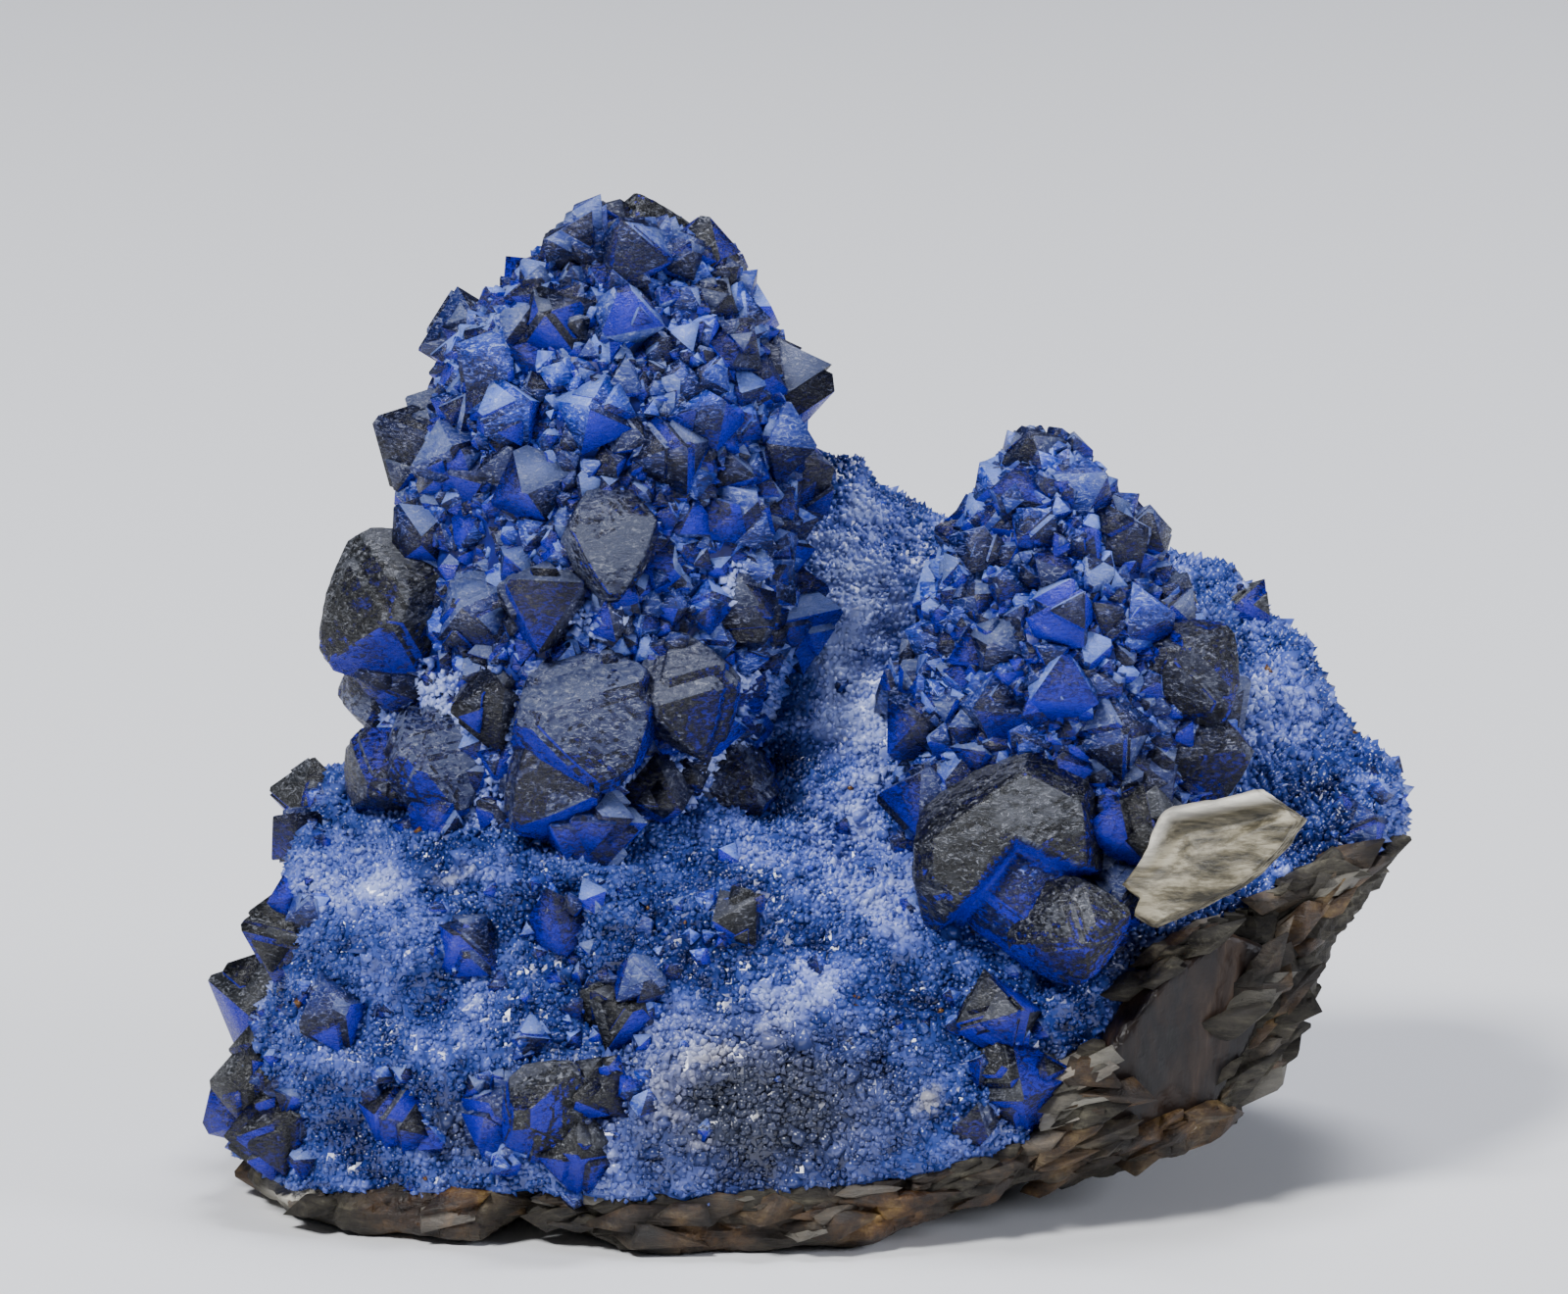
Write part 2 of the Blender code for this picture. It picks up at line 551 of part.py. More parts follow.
def cut_clear(item, *hosts):
    """Cut an object back from its hosts, leaving the gap, and keep its largest piece."""
    boolean(item, [swollen(host, "clearance") for host in hosts], "DIFFERENCE")
    tidy(item)


def linked_groups(bm):
    """Sort the vertices into groups that hang together, the smallest group first."""
    groups = []
    seen = set()
    for vert in bm.verts:
        if vert in seen:
            continue
        group = {vert}
        edge = [vert]
        while edge:
            for link in edge.pop().link_edges:
                for other in link.verts:
                    if other not in group:
                        group.add(other)
                        edge.append(other)
        seen |= group
        groups.append(group)
    return sorted(groups, key=len)


def weld(bm):
    """Weld what a cut left too close together and turn all faces out."""
    bmesh.ops.remove_doubles(bm, verts=bm.verts, dist=WELD * MM)
    bmesh.ops.dissolve_degenerate(bm, edges=bm.edges, dist=WELD * MM)
    bmesh.ops.triangulate(bm, faces=bm.faces)
    bmesh.ops.recalc_face_normals(bm, faces=bm.faces)


def tidy(item):
    """Keep an object's largest piece, welded."""
    bm = bmesh.new()
    bm.from_mesh(item.data)
    weld(bm)
    for group in linked_groups(bm)[:-1]:
        bmesh.ops.delete(bm, geom=list(group), context="VERTS")
    bm.to_mesh(item.data)
    bm.free()


def part_ways(item):
    """Give each loose piece of an object a node of its own, and drop crumbs."""
    bm = bmesh.new()
    bm.from_mesh(item.data)
    weld(bm)
    groups = [group for group in linked_groups(bm) if len(group) >= CRUMB]
    groups.sort(key=lambda group: (min(vert.co.x for vert in group), len(group)))
    for index, group in enumerate(groups):
        copy = bm.copy()
        copy.verts.ensure_lookup_table()
        keep = {vert.index for vert in group}
        spare = [vert for vert in copy.verts if vert.index not in keep]
        bmesh.ops.delete(copy, geom=spare, context="VERTS")
        label = item.name if len(groups) == 1 else f"{item.name}_{index + 1}"
        mesh = bpy.data.meshes.new(label)
        copy.to_mesh(mesh)
        copy.free()
        piece = bpy.data.objects.new(label + "_piece", mesh)
        bpy.context.collection.objects.link(piece)
        mesh.materials.append(item.data.materials[0])
        groups[index] = (piece, label)
    bm.free()
    bpy.data.objects.remove(item, do_unlink=True)
    for piece, label in groups:
        piece.name = label


def dress(item, material):
    """Give an object its one material."""
    item.data.materials.clear()
    item.data.materials.append(material)


def build_stalk(name, rows, front, around, fill, hosts, material, seed):
    """Make a stalk: a core, its large crystals and the small ones between them."""
    draw = random.Random(seed)
    core = build_core(name, rows)
    tree = host_tree(core)
    places = list(front_places(tree, front))
    places += near_places(tree, around)
    taken = [(spot, radius) for spot, normal, radius, spin in places]
    places += list(fill_places(tree, rows, fill, taken, draw))
    boolean(core, crystal_objects(places, draw), "UNION")
    tidy(core)
    cut_clear(core, *hosts)
    dress(core, material)


def build_group(name, places, hosts, material, seed):
    """Make a few crystals on the druse; those that grew together are one node."""
    draw = random.Random(seed)
    item, *others = crystal_objects(places, draw, sink=0.1)
    item.name = name
    if others:
        boolean(item, others, "UNION")
    boolean(item, [swollen(host, "clearance") for host in hosts], "DIFFERENCE")
    dress(item, material)
    part_ways(item)


def plane_outline(outline, middle, facing):
    """Lay an outline of the front view on a plane."""
    edge = []
    for across, up in outline:
        start, way = view_ray(across, up)
        edge.append(start + way * ((middle - start).dot(facing) / way.dot(facing)))
    return edge


def build_spar(material):
    """Make the brown spar mass, with its cleaved face on the right of the host rock."""
    facing = Vector(SPAR_FACING).normalized()
    edge = plane_outline(SPAR_OUTLINE, Vector(SPAR_MIDDLE), facing)
    centre = sum(edge, Vector()) / len(edge)
    loops = []
    for depth, grow in ((0.0, 0.95), (0.06, 1.0), (0.5, 0.96), (1.0, SPAR_TAPER)):
        loops.append([centre + (spot - centre) * grow - facing * SPAR_DEPTH * depth
                      for spot in edge])
    bm = skin_loops(loops)
    bmesh.ops.triangulate(bm, faces=bm.faces)
    return add_object("brown_spar", bm, material)


def build_blade(material):
    """Make the cream blade: a stepped plate with a broken outline."""
    facing = Vector(BLADE_FACING).normalized()
    edge = plane_outline(BLADE_OUTLINE, Vector(BLADE_MIDDLE), facing)
    centre = sum(edge, Vector()) / len(edge)
    layers = (
        (0.0, 0.93, 0.0), (0.25, 1.0, 0.0), (0.62, 1.0, 0.0),
        (0.66, 0.86, BLADE_STEP), (1.0, 0.82, BLADE_STEP),
    )
    loops = []
    for depth, grow, shift in layers:
        lean = Vector((shift, 0, shift * 0.4))
        ring = [centre + (spot - centre) * grow + facing * BLADE_THICK * (depth - 0.5) + lean
                for spot in edge]
        loops.append(ring)
    bm = skin_loops(loops)
    bmesh.ops.triangulate(bm, faces=bm.faces)
    return add_object("cream_blade", bm, material)


def main():
    """Build the specimen from the quartz hill outwards."""
    clear_scene()
    quartz = finish("druse_quartz", (0.36, 0.40, 0.62), 0.35)
    rock = finish("foliated_rock", (0.20, 0.18, 0.15), 0.85)
    spar = finish("brown_spar_crystal", (0.22, 0.13, 0.07), 0.3, 0.4, 1.54)
    fluorite = finish("blue_fluorite", (0.02, 0.04, 0.32), 0.3, 0.5, 1.434)
    barite = finish("cream_blade_mineral", (0.72, 0.68, 0.56), 0.55)

    hill = build_hill(quartz)
    blade = build_blade(barite)
    cut_clear(blade, hill)
    spar_item = build_spar(spar)
    cut_clear(spar_item, hill)
    host = build_rock(rock)
    cut_clear(host, hill, spar_item, blade)
    build_stalk("fluorite_tall_stalk", TALL_CORE, TALL_FRONT, TALL_ROUND, TALL_FILL, (hill,),
                fluorite, SEED + 1)
    build_stalk("fluorite_short_stalk", SHORT_CORE, SHORT_FRONT, SHORT_ROUND, SHORT_FILL,
                (hill, blade), fluorite, SEED + 2)

    tree = host_tree(hill)
    for index, (name, rows) in enumerate(DRUSE_GROUPS):
        build_group(name, front_places(tree, rows), (hill, host), fluorite, SEED + 20 + index)
    for index, (name, rows) in enumerate(BACK_GROUPS):
        build_group(name, near_places(tree, rows), (hill, host), fluorite, SEED + 40 + index)


main()
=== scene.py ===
"""Looks of a loose specimen of blue fluorite on quartz druse over foliated rock.

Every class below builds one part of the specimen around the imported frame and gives
it its finish. Lengths are in millimetres until a mesh is made, and metres from there.
"""

from __future__ import annotations

import logging
import math
import sys
from dataclasses import dataclass, field
from enum import Enum

import bmesh
import bpy
import numpy as np
from mathutils import Matrix, Vector
from mathutils.bvhtree import BVHTree


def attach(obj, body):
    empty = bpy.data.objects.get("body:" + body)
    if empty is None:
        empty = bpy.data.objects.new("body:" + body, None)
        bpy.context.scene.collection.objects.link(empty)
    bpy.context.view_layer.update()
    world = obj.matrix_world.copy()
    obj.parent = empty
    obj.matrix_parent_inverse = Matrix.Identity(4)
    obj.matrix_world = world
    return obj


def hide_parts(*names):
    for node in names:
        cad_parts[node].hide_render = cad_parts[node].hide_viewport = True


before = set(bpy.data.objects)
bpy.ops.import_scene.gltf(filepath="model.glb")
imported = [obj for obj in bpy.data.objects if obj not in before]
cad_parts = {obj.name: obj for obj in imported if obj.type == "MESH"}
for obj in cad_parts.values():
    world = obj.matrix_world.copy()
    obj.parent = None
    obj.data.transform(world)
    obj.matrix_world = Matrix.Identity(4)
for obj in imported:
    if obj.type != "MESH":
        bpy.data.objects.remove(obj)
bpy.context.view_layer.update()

MM = 0.001
SEED = 63
BODY = "root"

# The displayed side is seen from this far above the horizon
VIEW_TILT = math.radians(12)

log = logging.getLogger("specimen")


class Host(Enum):
    """What a crystal grew on, with the part of its half size that is sunk in it."""

    STALK = 0.3
    DRUSE = 0.1


class Slot(Enum):
    """The record's material slots."""

    FLUORITE = "fluorite"
    QUARTZ = "quartz"
    ROCK = "host_rock"
    SPAR = "spar"
    BLADE = "blade"


def linear(code: str) -> tuple[float, float, float, float]:
    """Turn an sRGB hex colour into a linear one.

    Args:
        code: six hex digits, with or without a leading hash.

    Returns:
        Red, green, blue and an alpha of one.
    """
    digits = code.lstrip("#")
    values = [int(digits[place:place + 2], 16) / 255 for place in (0, 2, 4)]
    turned = [v / 12.92 if v <= 0.04045 else ((v + 0.055) / 1.055) ** 2.4 for v in values]
    return (turned[0], turned[1], turned[2], 1.0)


def add_node(tree: bpy.types.NodeTree, kind: str, settings: dict | None = None,
             links: dict | None = None) -> bpy.types.Node:
    """Add a shader node with its settings and its incoming links.

    Args:
        tree: the node tree to add to.
        kind: the node's class name.
        settings: properties by name, and input values by socket name or number.
        links: an output socket for each input, by socket name or number.

    Returns:
        The new node.
    """
    node = tree.nodes.new(kind)
    for name, value in (settings or {}).items():
        if isinstance(name, str) and hasattr(node, name):
            setattr(node, name, value)
        else:
            node.inputs[name].default_value = value
    for name, output in (links or {}).items():
        tree.links.new(output, node.inputs[name])
    return node


def colour_ramp(tree: bpy.types.NodeTree, factor: bpy.types.NodeSocket,
                stops: list[tuple[float, str]]) -> bpy.types.NodeSocket:
    """Turn a factor into a colour through hex stops.

    Args:
        tree: the node tree to add to.
        factor: the socket that gives the place on the ramp.
        stops: place and hex colour pairs, in rising order.

    Returns:
        The ramp's colour socket.
    """
    node = add_node(tree, "ShaderNodeValToRGB", links={0: factor})
    ramp = node.color_ramp
    while len(ramp.elements) < len(stops):
        ramp.elements.new(0.5)
    for element, (place, code) in zip(ramp.elements, stops):
        element.position = place
        element.color = linear(code)
    return node.outputs[0]


def new_material(name: str) -> tuple[bpy.types.Material, bpy.types.NodeTree, bpy.types.Node]:
    """Make an empty node material with a Principled shader.

    Args:
        name: the material's name.

    Returns:
        The material, its node tree and the shader node.
    """
    material = bpy.data.materials.new(name)
    material.use_nodes = True
    tree = material.node_tree
    return material, tree, tree.nodes["Principled BSDF"]


@dataclass(frozen=True)
class FluoriteFinish:
    """Natural fluorite, grown in stepped octahedra.

    To the eye it is ultramarine glass. Every facet has its own tone, partly at random
    and partly painted light: the low parts of each crystal are painted vivid blue as a
    painted glow, faces turned up are painted paler, and some facets are nearly black.
    The larger the crystal, the darker it is, and the more of it takes the frosted greys,
    which are a painted sheen, with painted highlights along fine wrinkles in its upper tones.
    """

    name: str = "fluorite_ultramarine"
    # The low ends of both ramps are a painted glow, their high ends painted highlight tones; the frosted greys are a
    # painted sheen
    clear: tuple[str, ...] = ("#2228e0", "#141ca4", "#040828", "#0f2274", "#2a48d0", "#7f9cfa")
    frosted: tuple[str, ...] = ("#1a1ec4", "#0a0d4c", "#020308", "#0b0d12", "#202329", "#484b53")
    # Colours of the painted highlights on the wrinkle ridges, for clear and for frosted facets
    glint_paint: tuple[str, str] = ("#b2c4ff", "#8f929c")
    roughness: float = 0.17
    ior: float = 1.434
    wrinkle_mm: float = 0.7
    patch_mm: float = 4.5
    transmission: float = 0.4
    absorb: str = "#2a35f0"
    density_per_m: float = 220.0

    def make(self) -> bpy.types.Material:
        """Build the node material."""
        material, tree, shader = new_material(self.name)
        place = add_node(tree, "ShaderNodeTexCoord").outputs["Object"]
        geometry = add_node(tree, "ShaderNodeNewGeometry")
        lift = add_node(tree, "ShaderNodeAttribute", {"attribute_name": "lift"}).outputs["Fac"]
        frost_and_sheen = add_node(tree, "ShaderNodeAttribute", {"attribute_name": "frost_and_sheen"}).outputs["Fac"]
        normal = add_node(tree, "ShaderNodeVectorTransform",
                          {"vector_type": "NORMAL", "convert_from": "WORLD",
                           "convert_to": "OBJECT"}, {0: geometry.outputs["True Normal"]})
        part = add_node(tree, "ShaderNodeSeparateXYZ", links={0: normal.outputs[0]})
        island = add_node(tree, "ShaderNodeMath", {"operation": "MULTIPLY", 1: 61.0},
                          {0: geometry.outputs["Random Per Island"]})
        own = add_node(tree, "ShaderNodeVectorMath", {"operation": "ADD"},
                       {0: normal.outputs[0], 1: island.outputs[0]})
        facet = add_node(tree, "ShaderNodeTexNoise", {"Scale": 1.9, "Detail": 0.0},
                         {"Vector": own.outputs[0]})
        patch = add_node(tree, "ShaderNodeTexNoise",
                         {"Scale": 1 / (self.patch_mm * MM), "Detail": 4.0, "Roughness": 0.65},
                         {"Vector": place})
        drawn = add_node(tree, "ShaderNodeMapping", {"Scale": (1.0, 1.0, 2.3)}, {"Vector": place})
        wrinkle = add_node(tree, "ShaderNodeTexNoise",
                           {"Scale": 1 / (self.wrinkle_mm * MM), "Detail": 4.0, "Roughness": 0.7,
                            "Distortion": 1.4}, {"Vector": drawn.outputs[0]})
        # Faces turned up are painted paler, as painted light from above
        facing = add_node(tree, "ShaderNodeMath", {"operation": "MULTIPLY_ADD", 1: 0.22, 2: -0.1},
                          {0: part.outputs["Z"]})
        # lift paints each crystal's low parts as a vivid painted glow and its high parts paler, as painted light
        placed = add_node(tree, "ShaderNodeMath", {"operation": "MULTIPLY_ADD", 1: 0.18},
                          {0: lift, 2: facing.outputs[0]})
        varied = add_node(tree, "ShaderNodeMath", {"operation": "MULTIPLY_ADD", 1: 1.65, 2: -0.825},
                          {0: facet.outputs["Fac"]})
        spread = add_node(tree, "ShaderNodeMath", {"operation": "MULTIPLY_ADD", 1: 0.4},
                          {0: patch.outputs["Fac"], 2: varied.outputs[0]})
        mottled = add_node(tree, "ShaderNodeMath", {"operation": "MULTIPLY_ADD", 1: 0.85},
                           {0: wrinkle.outputs["Fac"], 2: spread.outputs[0]})
        height = add_node(tree, "ShaderNodeMath", {"operation": "ADD", "use_clamp": True},
                          {0: placed.outputs[0], 1: mottled.outputs[0]})
        stops = (0.22, 0.38, 0.5, 0.62, 0.76, 0.95)
        clear = colour_ramp(tree, height.outputs[0], list(zip(stops, self.clear)))
        frosted = colour_ramp(tree, height.outputs[0], list(zip(stops, self.frosted)))
        tint = add_node(tree, "ShaderNodeMix", {"data_type": "RGBA"}, {0: frost_and_sheen, 6: clear, 7: frosted})
        # Painted highlights: pale glints along the wrinkle ridges in the upper tones
        ridge = add_node(tree, "ShaderNodeMapRange", {"From Min": 0.54, "From Max": 0.66},
                         {"Value": wrinkle.outputs["Fac"]})
        upper = add_node(tree, "ShaderNodeMapRange",
                         {"From Min": 0.5, "From Max": 0.88, "To Max": 0.8},
                         {"Value": height.outputs[0]})
        shine = add_node(tree, "ShaderNodeMath", {"operation": "MULTIPLY"},
                         {0: ridge.outputs[0], 1: upper.outputs[0]})
        glint_colour = add_node(tree, "ShaderNodeMix",
                        {"data_type": "RGBA", 6: linear(self.glint_paint[0]), 7: linear(self.glint_paint[1])},
                        {0: frost_and_sheen})
        glinted = add_node(tree, "ShaderNodeMix", {"data_type": "RGBA"},
                            {0: shine.outputs[0], 6: tint.outputs[2], 7: glint_colour.outputs[2]})
        see = add_node(tree, "ShaderNodeMapRange",
                       {"From Min": 0.35, "From Max": 0.75, "To Min": self.transmission,
                        "To Max": 0.08}, {"Value": height.outputs[0]})
        rough = add_node(tree, "ShaderNodeMapRange",
                         {"From Min": 0.35, "From Max": 0.65, "To Min": self.roughness + 0.2,
                          "To Max": self.roughness}, {"Value": wrinkle.outputs["Fac"]})
        relief = add_node(tree, "ShaderNodeBump", {"Strength": 0.8, "Distance": 0.2 * MM},
                          {"Height": wrinkle.outputs["Fac"]})
        shader.inputs["IOR"].default_value = self.ior
        tree.links.new(glinted.outputs[2], shader.inputs["Base Color"])
        tree.links.new(see.outputs[0], shader.inputs["Transmission Weight"])
        tree.links.new(rough.outputs[0], shader.inputs["Roughness"])
        tree.links.new(relief.outputs[0], shader.inputs["Normal"])
        volume = add_node(tree, "ShaderNodeVolumeAbsorption",
                          {"Color": linear(self.absorb), "Density": self.density_per_m})
        tree.links.new(volume.outputs[0], tree.nodes["Material Output"].inputs["Volume"])
        return material


@dataclass(frozen=True)
class CoreFinish:
    """The grown-together fluorite and quartz between the crystals of a stalk, its darkest tones painted shade in the
    gaps.
    """

    name: str = "fluorite_intergrown"
    deep: str = "#05092c"
    blue: str = "#0e1a78"
    quartz: str = "#3d50ae"

    def make(self) -> bpy.types.Material:
        """Build the node material."""
        material, tree, shader = new_material(self.name)
        place = add_node(tree, "ShaderNodeTexCoord").outputs["Object"]
        patch = add_node(tree, "ShaderNodeTexNoise",
                         {"Scale": 1 / (3 * MM), "Detail": 5.0, "Roughness": 0.65},
                         {"Vector": place})
        # The deep end is painted shade for the gaps between crystals; the quartz end is the pale quartz's own colour
        colour = colour_ramp(tree, patch.outputs["Fac"], [
            (0.3, self.deep), (0.52, self.blue), (0.74, self.quartz)])
        relief = add_node(tree, "ShaderNodeBump", {"Strength": 0.6, "Distance": 0.2 * MM},
                          {"Height": patch.outputs["Fac"]})
        shader.inputs["Roughness"].default_value = 0.4
        shader.inputs["IOR"].default_value = 1.434
        tree.links.new(colour, shader.inputs["Base Color"])
        tree.links.new(relief.outputs[0], shader.inputs["Normal"])
        return material


@dataclass(frozen=True)
class DruseFinish:
    """Quartz druse, grown as a crust of sugar-like crystals.

    To the eye it is periwinkle and frosty and grey-violet low down, with rust-coloured
    specks here and there. Its humps are painted whiter as painted light and its hollows
    deep blue as painted shade.
    """

    name: str = "quartz_druse_frosted"
    blue: tuple[str, ...] = ("#0c1a52", "#1d3380", "#384e9e", "#6376cc", "#b4c4ff")
    grey: tuple[str, ...] = ("#30364c", "#393f56", "#434963", "#585d7c", "#a9a9b8")
    rust: str = "#6e4a24"
    roughness: float = 0.24
    ior: float = 1.544
    patch_mm: float = 5.0
    speck_share: float = 0.002

    def make(self) -> bpy.types.Material:
        """Build the node material."""
        material, tree, shader = new_material(self.name)
        place = add_node(tree, "ShaderNodeTexCoord").outputs["Object"]
        geometry = add_node(tree, "ShaderNodeNewGeometry")
        lift = add_node(tree, "ShaderNodeAttribute", {"attribute_name": "lift"}).outputs["Fac"]
        grey = add_node(tree, "ShaderNodeAttribute", {"attribute_name": "grey"}).outputs["Fac"]
        broad = add_node(tree, "ShaderNodeTexNoise",
                         {"Scale": 1 / (self.patch_mm * MM), "Detail": 5.0, "Roughness": 0.65},
                         {"Vector": place})
        grain = add_node(tree, "ShaderNodeMath", {"operation": "MULTIPLY_ADD", 1: 0.2, 2: -0.1},
                         {0: geometry.outputs["Random Per Island"]})
        patch = add_node(tree, "ShaderNodeMath", {"operation": "MULTIPLY_ADD", 1: 0.95, 2: -0.01},
                         {0: broad.outputs["Fac"]})
        # lift holds the tone patches together with painted light on the humps and painted shade in the hollows
        raised = add_node(tree, "ShaderNodeMath", {"operation": "MULTIPLY_ADD", 1: 0.28},
                          {0: lift, 2: patch.outputs[0]})
        tone = add_node(tree, "ShaderNodeMath", {"operation": "ADD", "use_clamp": True},
                        {0: raised.outputs[0], 1: grain.outputs[0]})
        stops = (0.22, 0.38, 0.5, 0.64, 0.84)
        cool = colour_ramp(tree, tone.outputs[0], list(zip(stops, self.blue)))
        dull = colour_ramp(tree, tone.outputs[0], list(zip(stops, self.grey)))
        tint = add_node(tree, "ShaderNodeMix", {"data_type": "RGBA"}, {0: grey, 6: cool, 7: dull})
        speck = add_node(tree, "ShaderNodeMath",
                         {"operation": "GREATER_THAN", 1: 1 - self.speck_share},
                         {0: geometry.outputs["Random Per Island"]})
        speckled = add_node(tree, "ShaderNodeMix", {"data_type": "RGBA", 7: linear(self.rust)},
                            {0: speck.outputs[0], 6: tint.outputs[2]})
        shader.inputs["Roughness"].default_value = self.roughness
        shader.inputs["IOR"].default_value = self.ior
        shader.inputs["Transmission Weight"].default_value = 0.15
        tree.links.new(speckled.outputs[2], shader.inputs["Base Color"])
        return material


@dataclass(frozen=True)
class RockFinish:
    """Foliated host rock, broken along its layers.

    To the eye it is dull grey-brown with paler, slightly shiny mica layers. Low down it
    holds resin-brown and yellowish lumps and a few white chips.
    """

    name: str = "foliated_host_rock"
    bare: tuple[str, ...] = ("#0a0806", "#221d16", "#3c382d", "#726d5b")
    amber: tuple[str, ...] = ("#0f0803", "#2e1b0b", "#5a3c18", "#9a7a42")
    chip: str = "#d8d3c4"
    layer_mm: float = 0.7

    def make(self) -> bpy.types.Material:
        """Build the node material."""
        material, tree, shader = new_material(self.name)
        place = add_node(tree, "ShaderNodeTexCoord").outputs["Object"]
        amber = add_node(tree, "ShaderNodeAttribute", {"attribute_name": "amber"}).outputs["Fac"]
        chip = add_node(tree, "ShaderNodeAttribute", {"attribute_name": "chip"}).outputs["Fac"]
        leaves = add_node(tree, "ShaderNodeMapping",
                          {"Rotation": (0.0, -0.35, 0.0), "Scale": (0.22, 0.22, 1.0)},
                          {"Vector": place})
        layer = add_node(tree, "ShaderNodeTexNoise",
                         {"Scale": 1 / (self.layer_mm * MM), "Detail": 6.0, "Roughness": 0.7,
                          "Distortion": 0.6}, {"Vector": leaves.outputs[0]})
        patch = add_node(tree, "ShaderNodeTexNoise",
                         {"Scale": 1 / (5 * MM), "Detail": 6.0, "Roughness": 0.7},
                         {"Vector": place})
        tone = add_node(tree, "ShaderNodeMix", {"data_type": "FLOAT", 0: 0.45},
                        {2: layer.outputs["Fac"], 3: patch.outputs["Fac"]})
        stops = (0.36, 0.47, 0.56, 0.68)
        bare = colour_ramp(tree, tone.outputs[0], list(zip(stops, self.bare)))
        warm = colour_ramp(tree, patch.outputs["Fac"], list(zip(stops, self.amber)))
        mixed = add_node(tree, "ShaderNodeMix", {"data_type": "RGBA"}, {0: amber, 6: bare, 7: warm})
        chipped = add_node(tree, "ShaderNodeMix", {"data_type": "RGBA", 7: linear(self.chip)},
                           {0: chip, 6: mixed.outputs[2]})
        rough = add_node(tree, "ShaderNodeMath", {"operation": "MULTIPLY_ADD", 1: -0.4, 2: 0.75},
                         {0: amber})
        height = add_node(tree, "ShaderNodeMath", {"operation": "ADD"},
                          {0: layer.outputs["Fac"], 1: patch.outputs["Fac"]})
        relief = add_node(tree, "ShaderNodeBump", {"Strength": 0.9, "Distance": 0.45 * MM},
                          {"Height": height.outputs[0]})
        tree.links.new(chipped.outputs[2], shader.inputs["Base Color"])
        tree.links.new(rough.outputs[0], shader.inputs["Roughness"])
        tree.links.new(relief.outputs[0], shader.inputs["Normal"])
        return material


@dataclass(frozen=True)
class SparFinish:
    """Brown spar, broken along smooth cleavage faces.

    To the eye it is resin-brown and half clear, drawn into slanting streaks: amber in
    its upper part, nearly black with a hint of blue in its lower part.
    """

    name: str = "brown_cleaved_spar"
    tones: tuple[str, ...] = ("#060505", "#130f11", "#211611", "#33251c", "#5a4737")
    streak_mm: float = 3.2

    def make(self) -> bpy.types.Material:
        """Build the node material."""
        material, tree, shader = new_material(self.name)
        place = add_node(tree, "ShaderNodeTexCoord").outputs["Object"]
        drawn = add_node(tree, "ShaderNodeMapping",
                         {"Rotation": (0.0, 0.6, 0.0), "Scale": (1.0, 1.0, 0.22)},
                         {"Vector": place})
        streak = add_node(tree, "ShaderNodeTexNoise",
                          {"Scale": 1 / (self.streak_mm * MM), "Detail": 7.0, "Roughness": 0.62,
                           "Distortion": 0.5}, {"Vector": drawn.outputs[0]})
        part = add_node(tree, "ShaderNodeSeparateXYZ", links={0: place})
        raised = add_node(tree, "ShaderNodeMapRange",
                          {"From Min": 6 * MM, "From Max": 22 * MM, "To Min": -0.05, "To Max": 0.05},
                          {"Value": part.outputs["Z"]})
        tone = add_node(tree, "ShaderNodeMath", {"operation": "ADD"},
                        {0: streak.outputs["Fac"], 1: raised.outputs[0]})
        stops = (0.32, 0.42, 0.5, 0.6, 0.74)
        colour = colour_ramp(tree, tone.outputs[0], list(zip(stops, self.tones)))
        relief = add_node(tree, "ShaderNodeBump", {"Strength": 0.5, "Distance": 0.3 * MM},
                          {"Height": streak.outputs["Fac"]})
        shader.inputs["Roughness"].default_value = 0.42
        shader.inputs["IOR"].default_value = 1.56
        shader.inputs["Specular IOR Level"].default_value = 0.25
        shader.inputs["Transmission Weight"].default_value = 0.15
        tree.links.new(colour, shader.inputs["Base Color"])
        tree.links.new(relief.outputs[0], shader.inputs["Normal"])
        return material


